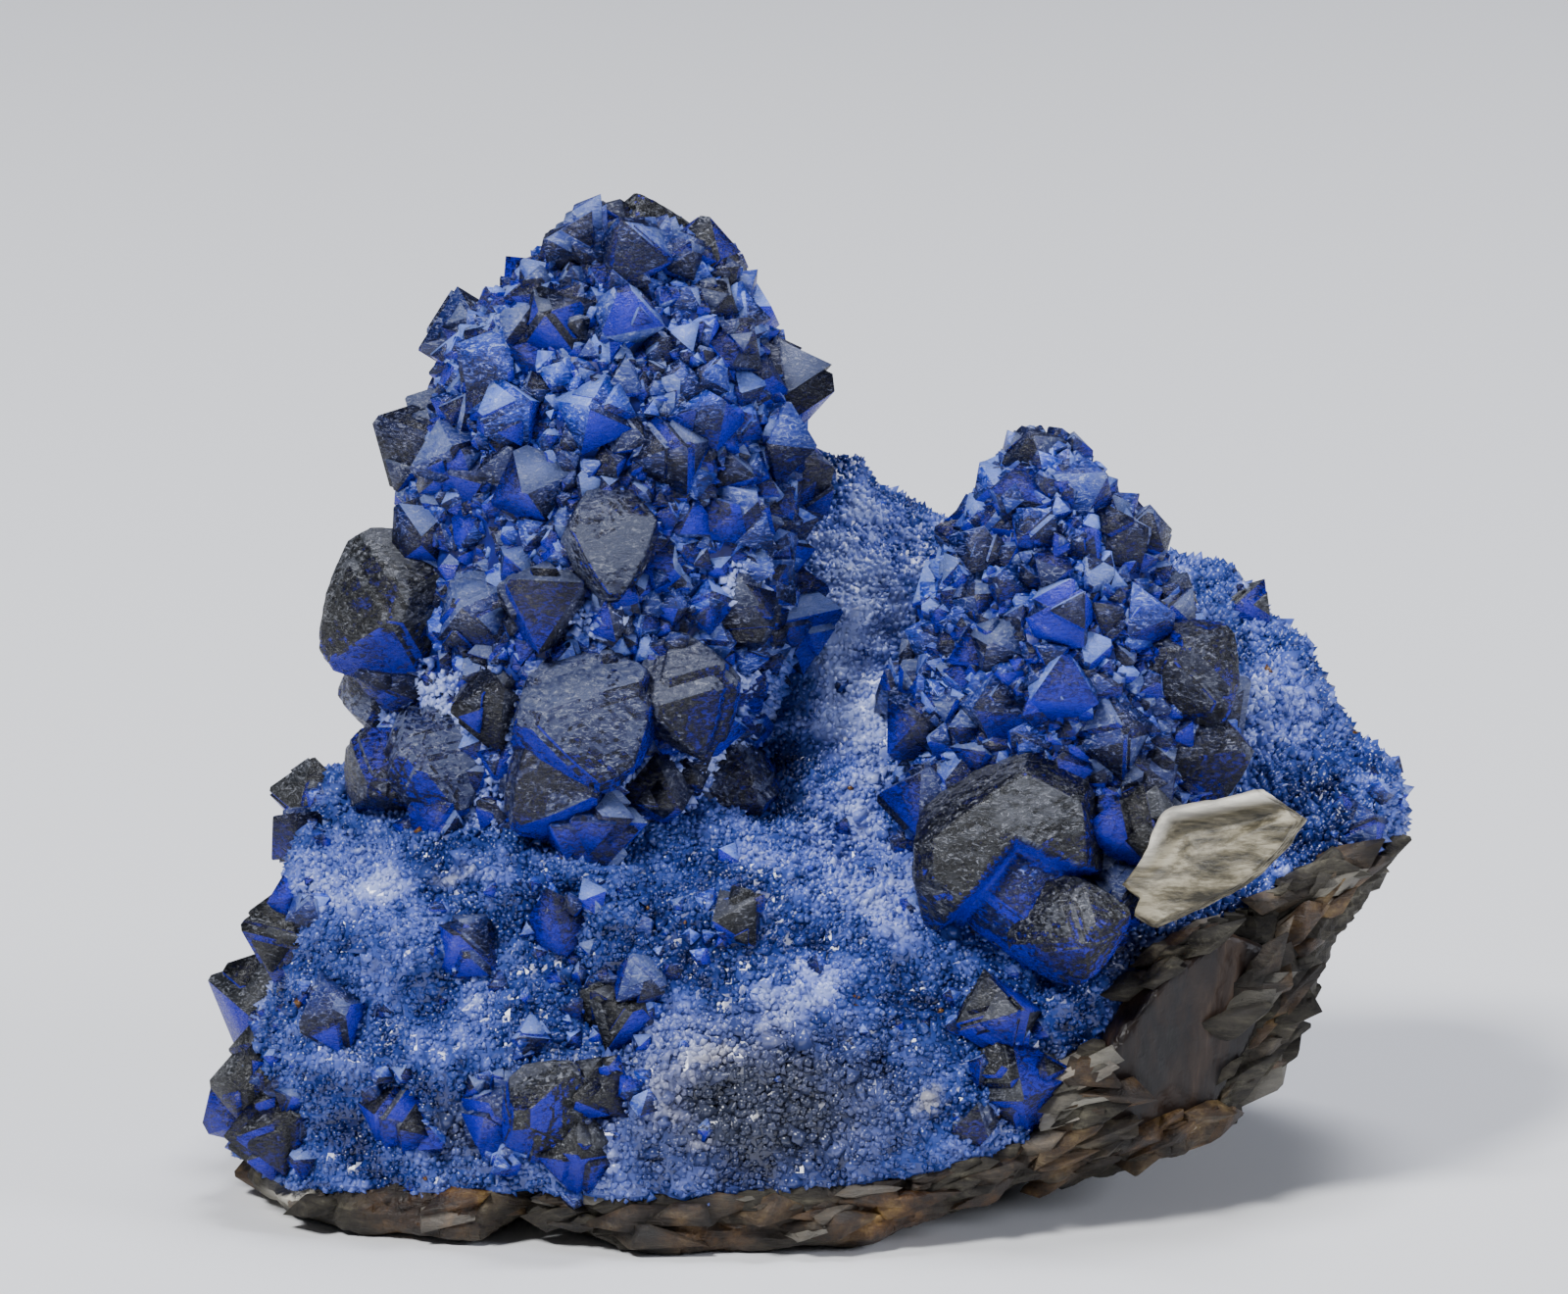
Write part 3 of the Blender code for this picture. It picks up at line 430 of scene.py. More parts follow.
@dataclass(frozen=True)
class BladeFinish:
    """A cream platy mineral, grown as a stack of thin sheets.

    To the eye it is ivory with a satin lustre, grey in its folds and at sheet edges;
    here its face colours are darker than ivory as painted shade, darkest in the low parts
    of its fold pattern, and its rolled rim is painted near white as a painted highlight.
    """

    name: str = "cream_platy_mineral"
    shade: str = "#2a261a"
    cream: str = "#6b6450"
    light: str = "#a59d86"
    # Near white, for the rim's painted highlight
    rim: str = "#fbf6e8"

    def make(self) -> bpy.types.Material:
        """Build the node material."""
        material, tree, shader = new_material(self.name)
        place = add_node(tree, "ShaderNodeTexCoord").outputs["Object"]
        drawn = add_node(tree, "ShaderNodeMapping",
                         {"Rotation": (0.0, 0.5, 0.0), "Scale": (0.2, 1.0, 1.3)},
                         {"Vector": place})
        fold = add_node(tree, "ShaderNodeTexNoise",
                        {"Scale": 1 / (1.5 * MM), "Detail": 8.0, "Roughness": 0.66},
                        {"Vector": drawn.outputs[0]})
        # The fold pattern's low parts take the darkest colour, painted shade in the creases, and the face colours
        # are kept darker as painted shade
        colour = colour_ramp(tree, fold.outputs["Fac"], [
            (0.38, self.shade), (0.5, self.cream), (0.6, self.light)])
        relief = add_node(tree, "ShaderNodeBump", {"Strength": 0.7, "Distance": 0.25 * MM},
                          {"Height": fold.outputs["Fac"]})
        # The rolled rim is painted near white: a painted highlight where it faces the lamps
        rolled = add_node(tree, "ShaderNodeAttribute", {"attribute_name": "rolled"}).outputs["Fac"]
        part = add_node(tree, "ShaderNodeMath", {"operation": "MULTIPLY", "use_clamp": True, 1: 1.4},
                        {0: fold.outputs["Fac"]})
        bright = add_node(tree, "ShaderNodeMath", {"operation": "MULTIPLY"},
                          {0: rolled, 1: part.outputs[0]})
        tint = add_node(tree, "ShaderNodeMix", {"data_type": "RGBA", 7: linear(self.rim)},
                        {0: bright.outputs[0], 6: colour})
        shader.inputs["Roughness"].default_value = 0.42
        tree.links.new(tint.outputs[2], shader.inputs["Base Color"])
        tree.links.new(relief.outputs[0], shader.inputs["Normal"])
        return material


def grid_noise(points: np.ndarray, seed: int) -> np.ndarray:
    """Give smooth noise from -1 to 1 with lumps about one unit wide.

    Args:
        points: one row of three numbers for each place.
        seed: picks the pattern.

    Returns:
        One value for each place.
    """
    cell = np.floor(points).astype(np.int64)
    part = points - cell
    ease = part * part * (3 - 2 * part)
    total = np.zeros(len(points))
    for corner in range(8):
        step = np.array([corner & 1, corner >> 1 & 1, corner >> 2 & 1])
        key = (cell + step) * np.array([73856093, 19349663, 83492791])
        code = (key[:, 0] ^ key[:, 1] ^ key[:, 2] ^ (seed * 2654435761)) & 0xFFFFFFFF
        code = ((code ^ (code >> 15)) * 2246822519) & 0xFFFFFFFF
        code = ((code ^ (code >> 13)) * 3266489917) & 0xFFFFFFFF
        value = (code >> 8 & 0xFFFF) / 32767.5 - 1
        weight = np.prod(np.where(step == 1, ease, 1 - ease), axis=1)
        total += value * weight
    return total


def layered_noise(points: np.ndarray, scale: float, seed: int, layers: int = 3) -> np.ndarray:
    """Add up noise of falling size.

    Args:
        points: one row for each place, in millimetres.
        scale: the width of the largest lumps, in millimetres.
        seed: picks the pattern.
        layers: how many sizes are added.

    Returns:
        One value for each place, about -1 to 1.
    """
    total = np.zeros(len(points))
    for layer in range(layers):
        total += grid_noise(points * 2 ** layer / scale, seed + layer) / 2 ** layer
    return total / 1.6


@dataclass
class Shell:
    """A growing triangle mesh in millimetres, with values on its points."""

    points: list[np.ndarray] = field(default_factory=list)
    faces: list[np.ndarray] = field(default_factory=list)
    values: dict[str, list[np.ndarray]] = field(default_factory=dict)
    count: int = 0

    def add(self, points: np.ndarray, faces: np.ndarray, **values: np.ndarray | float) -> None:
        """Add points, triangles that number them from zero, and values for the points."""
        self.points.append(points)
        self.faces.append(faces + self.count)
        for name, value in values.items():
            spread = np.broadcast_to(np.asarray(value, dtype=float), len(points))
            self.values.setdefault(name, []).append(spread)
        self.count += len(points)

    def triangles(self) -> int:
        """Count the triangles."""
        return sum(len(rows) for rows in self.faces)

    def piece(self, name: str, material: bpy.types.Material, slot: Slot) -> bpy.types.Object:
        """Make the mesh a piece that rides on the specimen.

        Args:
            name: the piece's name.
            material: its finish.
            slot: the record's material slot; it is not used.

        Returns:
            The new object.
        """
        points = np.concatenate(self.points) * MM
        faces = np.concatenate(self.faces)
        mesh = bpy.data.meshes.new(name)
        mesh.vertices.add(len(points))
        mesh.vertices.foreach_set("co", points.astype(np.float32).ravel())
        mesh.loops.add(faces.size)
        mesh.loops.foreach_set("vertex_index", faces.astype(np.int32).ravel())
        mesh.polygons.add(len(faces))
        mesh.polygons.foreach_set("loop_start", np.arange(0, faces.size, 3, dtype=np.int32))
        mesh.update(calc_edges=True)
        for label, rows in self.values.items():
            set_values(mesh, label, np.concatenate(rows))
        mesh.materials.append(material)
        return finish_piece(bpy.data.objects.new(name, mesh))


def set_values(mesh: bpy.types.Mesh, name: str, values: np.ndarray) -> None:
    """Store one value for each of a mesh's points, for a finish to read."""
    store = mesh.attributes.new(name, "FLOAT", "POINT")
    store.data.foreach_set("value", values.astype(np.float32))


def finish_piece(item: bpy.types.Object) -> bpy.types.Object:
    """Link an object, let it ride on the specimen and report it.

    Args:
        item: the new object.

    Returns:
        The same object.
    """
    if item.name not in bpy.context.scene.collection.objects:
        bpy.context.scene.collection.objects.link(item)
    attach(item, BODY)
    log.info("%s: %d faces", item.name, len(item.data.polygons))
    return item


def octahedron_grid(cuts: int) -> tuple[np.ndarray, np.ndarray]:
    """Spread rays evenly in all directions, joined into triangles facing out.

    Args:
        cuts: how many triangles lie along an edge of the octahedron that is divided.

    Returns:
        Rays of length one, and triangles between them.
    """
    index: dict[tuple[int, int, int], int] = {}
    faces = []
    for sx in (1, -1):
        for sy in (1, -1):
            for sz in (1, -1):
                flip = sx * sy * sz < 0
                for i in range(cuts):
                    for j in range(cuts - i):
                        rows = [[(i, j), (i + 1, j), (i, j + 1)]]
                        if i + j < cuts - 1:
                            rows.append([(i + 1, j), (i + 1, j + 1), (i, j + 1)])
                        for row in rows:
                            keys = [(sx * a, sy * b, sz * (cuts - a - b)) for a, b in row]
                            tri = [index.setdefault(key, len(index)) for key in keys]
                            faces.append(tri[::-1] if flip else tri)
    rays = np.array(list(index), dtype=float)
    return rays / np.linalg.norm(rays, axis=1, keepdims=True), np.array(faces)


GRIDS = {cuts: octahedron_grid(cuts) for cuts in (34, 50)}

# The ways in which fluorite's faces look: eight of the octahedron, six of the cube
OCTAHEDRON_WAYS = np.array([(x, y, z) for x in (1, -1) for y in (1, -1) for z in (1, -1)])
FACE_WAYS = np.concatenate([OCTAHEDRON_WAYS / math.sqrt(3), np.eye(3), -np.eye(3)])

# How far an octahedron's faces are from its middle when its corners are one away
FACE_FAR = 1 / math.sqrt(3)


def unit(rows: np.ndarray) -> np.ndarray:
    """Scale each row of numbers to length one."""
    return rows / np.linalg.norm(rows, axis=-1, keepdims=True)


def block_reach(rays: np.ndarray, middle: np.ndarray, distances: np.ndarray) -> np.ndarray:
    """Give how far each ray runs from the origin before it leaves a faceted block.

    Args:
        rays: directions of length one.
        middle: the block's middle; the origin has to lie in the block.
        distances: how far each of its faces is from its middle.

    Returns:
        One length for each ray.
    """
    slope = rays @ FACE_WAYS.T
    room = distances + FACE_WAYS @ middle
    far = np.where(slope > 1e-6, room / np.maximum(slope, 1e-6), np.inf)
    return far.min(axis=1)


def stepped_reach(rays: np.ndarray, draw: np.random.Generator, blocks: int,
                  blunt: float) -> np.ndarray:
    """Give the reach of a crystal that is grown together from parallel blocks.

    Args:
        rays: directions of length one.
        draw: the source of unevenness.
        blocks: how many smaller blocks stand out of the main one.
        blunt: how far out the faces that cut the corners are.

    Returns:
        One length for each ray, about one at the corners.
    """
    faces = np.concatenate([draw.uniform(0.5, 0.64, 8), draw.uniform(0.9, 1.08, 6) * blunt])
    far = block_reach(rays, np.zeros(3), faces)
    for _ in range(blocks):
        middle = unit(draw.normal(size=3)) * draw.uniform(0.1, 0.4)
        size = draw.uniform(0.5, 0.82)
        faces = size * np.concatenate([draw.uniform(0.56, 0.62, 8), np.full(6, blunt)])
        if (faces + FACE_WAYS @ middle).min() > 0.03:
            far = np.maximum(far, block_reach(rays, middle, faces))
    return far


def faceted_forms(count: int) -> list[tuple[np.ndarray, np.ndarray]]:
    """Make uneven small octahedra with exact flat faces.

    Args:
        count: how many forms are made.

    Returns:
        Points and triangles of each.
    """
    draw = np.random.default_rng(SEED + 9)
    triples = np.array([(i, j, k) for i in range(14) for j in range(i) for k in range(j)])
    ways = FACE_WAYS[triples]
    solid = np.abs(np.linalg.det(ways)) > 1e-6
    forms = []
    for _ in range(count):
        faces = np.concatenate([draw.uniform(0.46, 0.68, 8), draw.uniform(0.84, 1.4, 6)])
        corners = np.linalg.solve(ways[solid], faces[triples][solid][..., None])[..., 0]
        corners = corners[(corners @ FACE_WAYS.T <= faces + 1e-6).all(axis=1)]
        bm = bmesh.new()
        for corner in corners:
            bm.verts.new(corner)
        bmesh.ops.remove_doubles(bm, verts=bm.verts, dist=0.02)
        made = bmesh.ops.convex_hull(bm, input=bm.verts)
        spare = [item for item in made["geom_interior"] if isinstance(item, bmesh.types.BMVert)]
        bmesh.ops.delete(bm, geom=spare, context="VERTS")
        bmesh.ops.triangulate(bm, faces=bm.faces)
        bm.verts.index_update()
        points = np.array([vert.co[:] for vert in bm.verts])
        rows = np.array([[vert.index for vert in face.verts] for face in bm.faces])
        bm.free()
        forms.append((points, rows))
    return forms


FORMS = faceted_forms(48)


@dataclass(frozen=True)
class Look:
    """How the crystals of one size are divided, stepped and frosted, with the frosting also a painted sheen."""

    cuts: int
    blocks: int
    blunt: float
    domed: float
    rough: float
    frost_and_sheen: tuple[float, float]


def look_for(radius: float) -> Look:
    """Choose the detail that a crystal of the given half size shows."""
    if radius < 0.95:
        return Look(0, 0, 1.0, 0.0, 0.0, (0.0, 0.6))
    if radius < 1.6:
        return Look(0, 1, 1.0, 0.0, 0.0, (0.0, 0.7))
    if radius < 3.0:
        return Look(0, 4, 1.0, 0.0, 0.0, (0.1, 0.9))
    if radius < 4.2:
        return Look(0, 9, 1.0, 0.0, 0.0, (0.5, 1.0))
    if radius < 7.0:
        return Look(34, 7, 0.86, 0.34, 0.012, (0.85, 1.0))
    return Look(50, 10, 0.8, 0.36, 0.012, (1.0, 1.0))


@dataclass(frozen=True)
class Notch:
    """A stepped hollow in a crystal's face, as growth leaves one.

    Its corners are measured across and up from the crystal's middle in the front view.
    """

    top: tuple[float, float]
    left: tuple[float, float]
    right: tuple[float, float]
    depth: float = 0.34
    wall: float = 0.6
    run: float = 7.0
    glow: float = 1.7

    def cut(self, rays: np.ndarray,
            far: np.ndarray) -> tuple[np.ndarray, np.ndarray, np.ndarray]:
        """Sink the rays that pass through the hollow.

        Args:
            rays: directions in the specimen's frame.
            far: the reach of each, in millimetres.

        Returns:
            The new reach, and from 0 to 1 how much each ray meets the hollow's upper walls,
            which take a painted glow, and how much its floor, which takes painted shade.
        """
        spots = rays * far[:, None]
        across = spots[:, 0]
        up = spots[:, 1] * math.sin(VIEW_TILT) + spots[:, 2] * math.cos(VIEW_TILT)
        front = spots[:, 1] * math.cos(VIEW_TILT) - spots[:, 2] * math.sin(VIEW_TILT) < 0
        inside = np.full(len(rays), np.inf)
        for start, end in ((self.left, self.top), (self.top, self.right)):
            run = np.array(end) - np.array(start)
            run /= np.linalg.norm(run)
            inside = np.minimum(inside, (across - start[0]) * run[1] - (up - start[1]) * run[0])
        wall = np.clip(inside / self.wall, 0, 1)
        rise = np.clip(1 - inside / self.run, 0, 1) ** 0.8
        sunk = np.where(front, wall * rise, 0.0)
        bright = np.where(front, wall * np.clip(2 * (1 - inside / self.glow), 0, 1), 0.0)
        return far * (1 - self.depth * sunk), bright, np.where(front, wall, 0.0) - bright


@dataclass
class Crystal:
    """One fluorite octahedron, in millimetres."""

    middle: Vector
    turn: Matrix
    reach: float
    look: Look
    seed: int
    notch: Notch | None = None
    shade: float = 0.0

    def grow(self, shell: Shell) -> None:
        """Add the crystal's surface to a shell."""
        draw = np.random.default_rng(self.seed)
        turn = np.array(self.turn)
        frost_and_sheen = min(1.0, draw.uniform(*self.look.frost_and_sheen) + self.shade)
        squeeze = draw.uniform(0.86, 1.1, 3)
        if self.look.cuts:
            self.grow_stepped(shell, draw, squeeze, frost_and_sheen)
            return
        for part in range(self.look.blocks + 1):
            size = draw.uniform(0.32, 0.72) if part else 1.0
            shift = np.zeros(3)
            if part:
                way = unit(draw.normal(size=3))
                slope = (FACE_WAYS[:8] @ way).max()
                shift = way * (FACE_FAR * (1 - size) + draw.uniform(0.04, 0.16)) / slope
            points, faces = FORMS[draw.integers(len(FORMS))]
            placed = ((points * size + shift) * squeeze * self.reach) @ turn.T
            # Higher points are painted paler and lower points vivid blue: painted light and painted glow
            lift = placed[:, 2] / self.reach - 1.2 * self.shade
            shell.add(placed + np.array(self.middle), faces, lift=lift, frost_and_sheen=frost_and_sheen)

    def grow_stepped(self, shell: Shell, draw: np.random.Generator, squeeze: np.ndarray,
                     frost_and_sheen: float) -> None:
        """Add the surface of a large crystal, with steps, wrinkles and any hollow."""
        rays, faces = GRIDS[self.look.cuts]
        far = stepped_reach(rays, draw, self.look.blocks, self.look.blunt)
        wrinkle = grid_noise(rays * 7, self.seed) + 0.7 * grid_noise(rays * 16, self.seed + 3)
        far = (far + self.look.domed * (0.76 - far)) * (1 + self.look.rough * wrinkle)
        placed = (rays * far[:, None] * squeeze * self.reach) @ np.array(self.turn).T
        # Higher points are painted paler and lower points vivid blue: painted light and painted glow
        lift = 0.4 * placed[:, 2] / self.reach + 0.3 - 1.2 * self.shade
        if self.notch:
            length = np.linalg.norm(placed, axis=1)
            cut, bright, floor = self.notch.cut(placed / length[:, None], length)
            placed = placed * (cut / length)[:, None]
            # The hollow's walls are painted vivid blue as a painted glow and its floor darker as painted shade
            lift = lift - 3.2 * bright - 1.3 * floor
            frost_and_sheen = frost_and_sheen * (1 - 0.9 * bright - 0.75 * floor)
        shell.add(placed + np.array(self.middle), faces, lift=lift, frost_and_sheen=frost_and_sheen)


CORNER_REACH = 1.22


def plant(spot: Vector, normal: Vector, radius: float, spin: float, sink: float, tip: bool,
          seed: int, notch: Notch | None = None) -> Crystal:
    """Make a crystal that sits on a surface.

    Args:
        spot: the place on the surface.
        normal: the way out of the surface there.
        radius: the half size that shows.
        spin: its turn about the way out, in degrees.
        sink: the part of the half size that is below the surface.
        tip: whether a corner points out, and not a face.
        seed: sets its unevenness.
        notch: a hollow in its front.

    Returns:
        The crystal.
    """
    draw = np.random.default_rng(seed)
    out = Vector((0, 0, 1)) if tip else Vector((1, 1, 1)).normalized()
    lean = Matrix.Rotation(draw.uniform(-0.35, 0.35), 3, "X")
    around = Matrix.Rotation(math.radians(spin), 3, normal)
    turn = around @ out.rotation_difference(normal).to_matrix() @ lean
    middle = spot - normal * radius * (sink if tip else sink * 0.4)
    return Crystal(middle, turn, radius * CORNER_REACH, look_for(radius), seed, notch)


def view_ray(across: float, up: float) -> tuple[Vector, Vector]:
    """Give the start and direction of the front view's ray through a place in it."""
    way = Vector((0, math.cos(VIEW_TILT), -math.sin(VIEW_TILT)))
    rise = Vector((0, math.sin(VIEW_TILT), math.cos(VIEW_TILT)))
    return Vector((across, 0, 0)) + rise * up - way * 200, way


def front_spot(tree: BVHTree, across: float, up: float) -> tuple[Vector, Vector]:
    """Find a place on a host as seen from the front.

    Args:
        tree: the host's faces, in millimetres.
        across: how far right of the origin the place is seen.
        up: how far above the origin it is seen.

    Returns:
        The place and the way out of the surface there.
    """
    start, way = view_ray(across, up)
    spot, normal, _, _ = tree.ray_cast(start, way)
    if spot is None:
        spot, normal, _, _ = tree.find_nearest(start + way * 190)
    return spot, normal


def tree_of(points: np.ndarray, faces: np.ndarray) -> BVHTree:
    """Make a search tree of triangles."""
    return BVHTree.FromPolygons([tuple(row) for row in points], [tuple(row) for row in faces])


def mesh_arrays(mesh: bpy.types.Mesh) -> tuple[np.ndarray, np.ndarray]:
    """Read a mesh's points in millimetres and its triangles."""
    points = np.empty(len(mesh.vertices) * 3, dtype=np.float32)
    mesh.vertices.foreach_get("co", points)
    mesh.calc_loop_triangles()
    faces = np.empty(len(mesh.loop_triangles) * 3, dtype=np.int32)
    mesh.loop_triangles.foreach_get("vertices", faces)
    return points.reshape(-1, 3).astype(float) / MM, faces.reshape(-1, 3)


def remeshed(node: str, voxel: float, smooth: int) -> bpy.types.Mesh:
    """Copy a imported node's form as an even mesh with its facets smoothed out.

    Args:
        node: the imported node.
        voxel: the width of the new faces, in millimetres.
        smooth: how many times the mesh is smoothed.

    Returns:
        The new mesh, in metres.
    """
    copy = bpy.data.objects.new("form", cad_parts[node].data.copy())
    bpy.context.scene.collection.objects.link(copy)
    modifier = copy.modifiers.new("even", "REMESH")
    modifier.mode = "VOXEL"
    modifier.voxel_size = voxel * MM
    if smooth:
        softener = copy.modifiers.new("soft", "SMOOTH")
        softener.factor = 0.5
        softener.iterations = smooth
    graph = bpy.context.evaluated_depsgraph_get()
    made = bpy.data.meshes.new_from_object(copy.evaluated_get(graph))
    bpy.data.objects.remove(copy, do_unlink=True)
    made.materials.clear()
    return made


def vertex_normals(mesh: bpy.types.Mesh) -> np.ndarray:
    """Read a mesh's vertex normals."""
    normals = np.empty(len(mesh.vertices) * 3, dtype=np.float32)
    mesh.vertex_normals.foreach_get("vector", normals)
    return normals.reshape(-1, 3).astype(float)


@dataclass
class Studio:
    """A pale floor, soft lamps and the camera at the displayed side."""

    frame_width: float = 120.0
    middle_across: float = 1.5
    middle_up: float = 39.9
    distance: float = 720.0
    sensor: float = 36.0
    floor_radius: float = 4000.0

    def build(self) -> None:
        """Make the floor, the lamps, the world and the camera."""
        self.floor()
        self.lamps()
        self.camera()

    def floor(self) -> None:
        """Make the floor as one flat disc."""
        angles = np.linspace(0, math.tau, 96, endpoint=False)
        ring = np.stack([np.cos(angles), np.sin(angles), 0 * angles], axis=1)
        mesh = bpy.data.meshes.new("floor")
        mesh.from_pydata((ring * self.floor_radius * MM).tolist(), [], [tuple(range(96))])
        material, _, shader = new_material("matt_floor_paper")
        shader.inputs["Base Color"].default_value = linear("#f2f3f5")
        shader.inputs["Roughness"].default_value = 0.9
        mesh.materials.append(material)
        item = bpy.data.objects.new("floor", mesh)
        bpy.context.scene.collection.objects.link(item)

    def lamp(self, name: str, place: tuple[float, float, float], size: float,
             power: float, colour: str) -> None:
        """Hang one square soft lamp that faces the specimen."""
        light = bpy.data.lights.new(name, "AREA")
        light.shape = "SQUARE"
        light.size = size * MM
        light.energy = power
        light.color = linear(colour)[:3]
        item = bpy.data.objects.new(name, light)
        item.location = Vector(place) * MM
        aim = Vector((0, 0, 35)) * MM - item.location
        item.rotation_euler = aim.to_track_quat("-Z", "Y").to_euler()
        bpy.context.scene.collection.objects.link(item)

    def lamps(self) -> None:
        """Hang the lamps and light the surroundings."""
        self.lamp("key", (-620, -720, 1110), 320, 24.0, "#ffffff")
        self.lamp("top", (190, 290, 1250), 480, 12.5, "#f4f6ff")
        self.lamp("side", (1010, -380, 480), 380, 6.2, "#eef2ff")
        world = bpy.data.worlds.new("soft_room")
        bpy.context.scene.world = world
        world.use_nodes = True
        back = world.node_tree.nodes["Background"]
        back.inputs["Color"].default_value = linear("#cfd6e6")
        back.inputs["Strength"].default_value = 0.1

    def camera(self) -> None:
        """Aim a long lens at the displayed side."""
        right = Vector((1, 0, 0))
        up = Vector((0, math.sin(VIEW_TILT), math.cos(VIEW_TILT)))
        back = right.cross(up)
        place = (right * self.middle_across + up * self.middle_up + back * self.distance) * MM
        data = bpy.data.cameras.new("camera")
        data.sensor_width = self.sensor
        data.lens = self.sensor * self.distance / self.frame_width
        data.clip_end = 10
        item = bpy.data.objects.new("camera", data)
        item.matrix_world = Matrix.Translation(place) @ Matrix((right, up, back)).transposed().to_4x4()
        bpy.context.scene.collection.objects.link(item)
        bpy.context.scene.camera = item


@dataclass(frozen=True)
class Patch:
    """A patch of the druse, placed and sized in the front view, with its tone."""

    across: float
    up: float
    width: float
    height: float
    lift: float
    grey: float = 0.0

    def share(self, across: np.ndarray, up: np.ndarray) -> np.ndarray:
        """Give how much each place belongs to the patch, from 0 to 1."""
        far = np.hypot((across - self.across) / self.width, (up - self.up) / self.height)
        return np.clip(1.5 - 1.5 * far, 0, 1)


@dataclass
class QuartzHill:
    """The druse: a base crust and a coat of small quartz crystals."""

    patches: tuple[Patch, ...]
    finish: DruseFinish = field(default_factory=DruseFinish)
    voxel: float = 0.53
    lump: float = 0.75
    grain: float = 0.5
    big_share: float = 0.06

    def __post_init__(self) -> None:
        """Make the finish and the crust's mesh."""
        self.material = self.finish.make()
        mesh = remeshed("quartz_druse", self.voxel, 3)
        points, _ = mesh_arrays(mesh)
        normals = vertex_normals(mesh)
        push = layered_noise(points, 3.6, 11, 3) + 0.6 * layered_noise(points, 1.4, 17, 2)
        push += 1.1 * layered_noise(points, 7.5, 13, 2)
        leaves = points * np.array([0.25, 0.25, 1.0])
        push += 0.5 * np.abs(layered_noise(leaves, 1.6, 23, 2))
        points = points + normals * (self.lump * push)[:, None]
        mesh.vertices.foreach_set("co", (points * MM).astype(np.float32).ravel())
        mesh.update()
        lift, grey = self.tones(points, vertex_normals(mesh))
        # Humps are painted paler and hollows darker: painted light and painted shade
        lift = lift + 0.7 * np.clip(push, -1, 1)
        set_values(mesh, "lift", lift)
        set_values(mesh, "grey", grey)
        self.mesh = mesh
        self.lift = lift
        self.grey = grey
        self.points, self.faces = mesh_arrays(mesh)
        self.tree = tree_of(self.points, self.faces)

    def tones(self, points: np.ndarray, normals: np.ndarray) -> tuple[np.ndarray, np.ndarray]:
        """Give how pale and how grey the druse is at each point."""
        up = points[:, 1] * math.sin(VIEW_TILT) + points[:, 2] * math.cos(VIEW_TILT)
        wobble = layered_noise(points, 3.0, 71, 3) + 0.8 * layered_noise(points, 0.9, 73, 2)
        across = points[:, 0] + 1.6 * wobble
        front = np.clip(normals[:, 2] * 0.2 - normals[:, 1] + 0.6, 0, 1)
        lift = np.zeros(len(points))
        grey = np.zeros(len(points))
        for patch in self.patches:
            share = patch.share(across, up + wobble) * front
            lift += patch.lift * share
            grey = np.maximum(grey, patch.grey * share)
        return lift, grey

    def build(self, covers: list[FluoriteStalk]) -> None:
        """Make the crust's piece and its grains, leaving out what the stalks cover."""
        self.mesh.materials.append(self.material)
        crust = finish_piece(bpy.data.objects.new("druse_crust", self.mesh))
        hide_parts("quartz_druse")
        corners = np.empty(len(self.mesh.loops), dtype=np.int32)
        self.mesh.loops.foreach_get("vertex_index", corners)
        corners = corners.reshape(-1, 4)
        rows = self.points[corners]
        centres = rows.mean(axis=1)
        normals = unit(np.cross(rows[:, 2] - rows[:, 0], rows[:, 3] - rows[:, 1]))
        lift = self.lift[corners].mean(axis=1)
        grey = self.grey[corners].mean(axis=1)
        keep = normals[:, 2] > -0.72
        for cover in covers:
            keep &= ~cover.hides(centres)
        draw = np.random.default_rng(SEED)
        sizes = self.grain * draw.uniform(0.7, 1.35, len(centres))
        sizes *= 1 + 0.45 * np.clip((centres[:, 0] - 27) / 8, 0, 1)
        sizes *= 1 + 0.5 * grey * draw.uniform(0, 1, len(centres))
        sizes[draw.random(len(centres)) < self.big_share] *= 1.7
        split = np.median(centres[keep, 1])
        halves = (("druse_grains_front", centres[:, 1] < split),
                  ("druse_grains_back", centres[:, 1] >= split))
        for name, half in halves:
            part = keep & half
            shell = Shell()
            points, faces = pointed_grains(centres[part], normals[part], sizes[part], draw)
            shell.add(points, faces, lift=np.repeat(lift[part], 5), grey=np.repeat(grey[part], 5))
            shell.piece(name, self.material, Slot.QUARTZ)


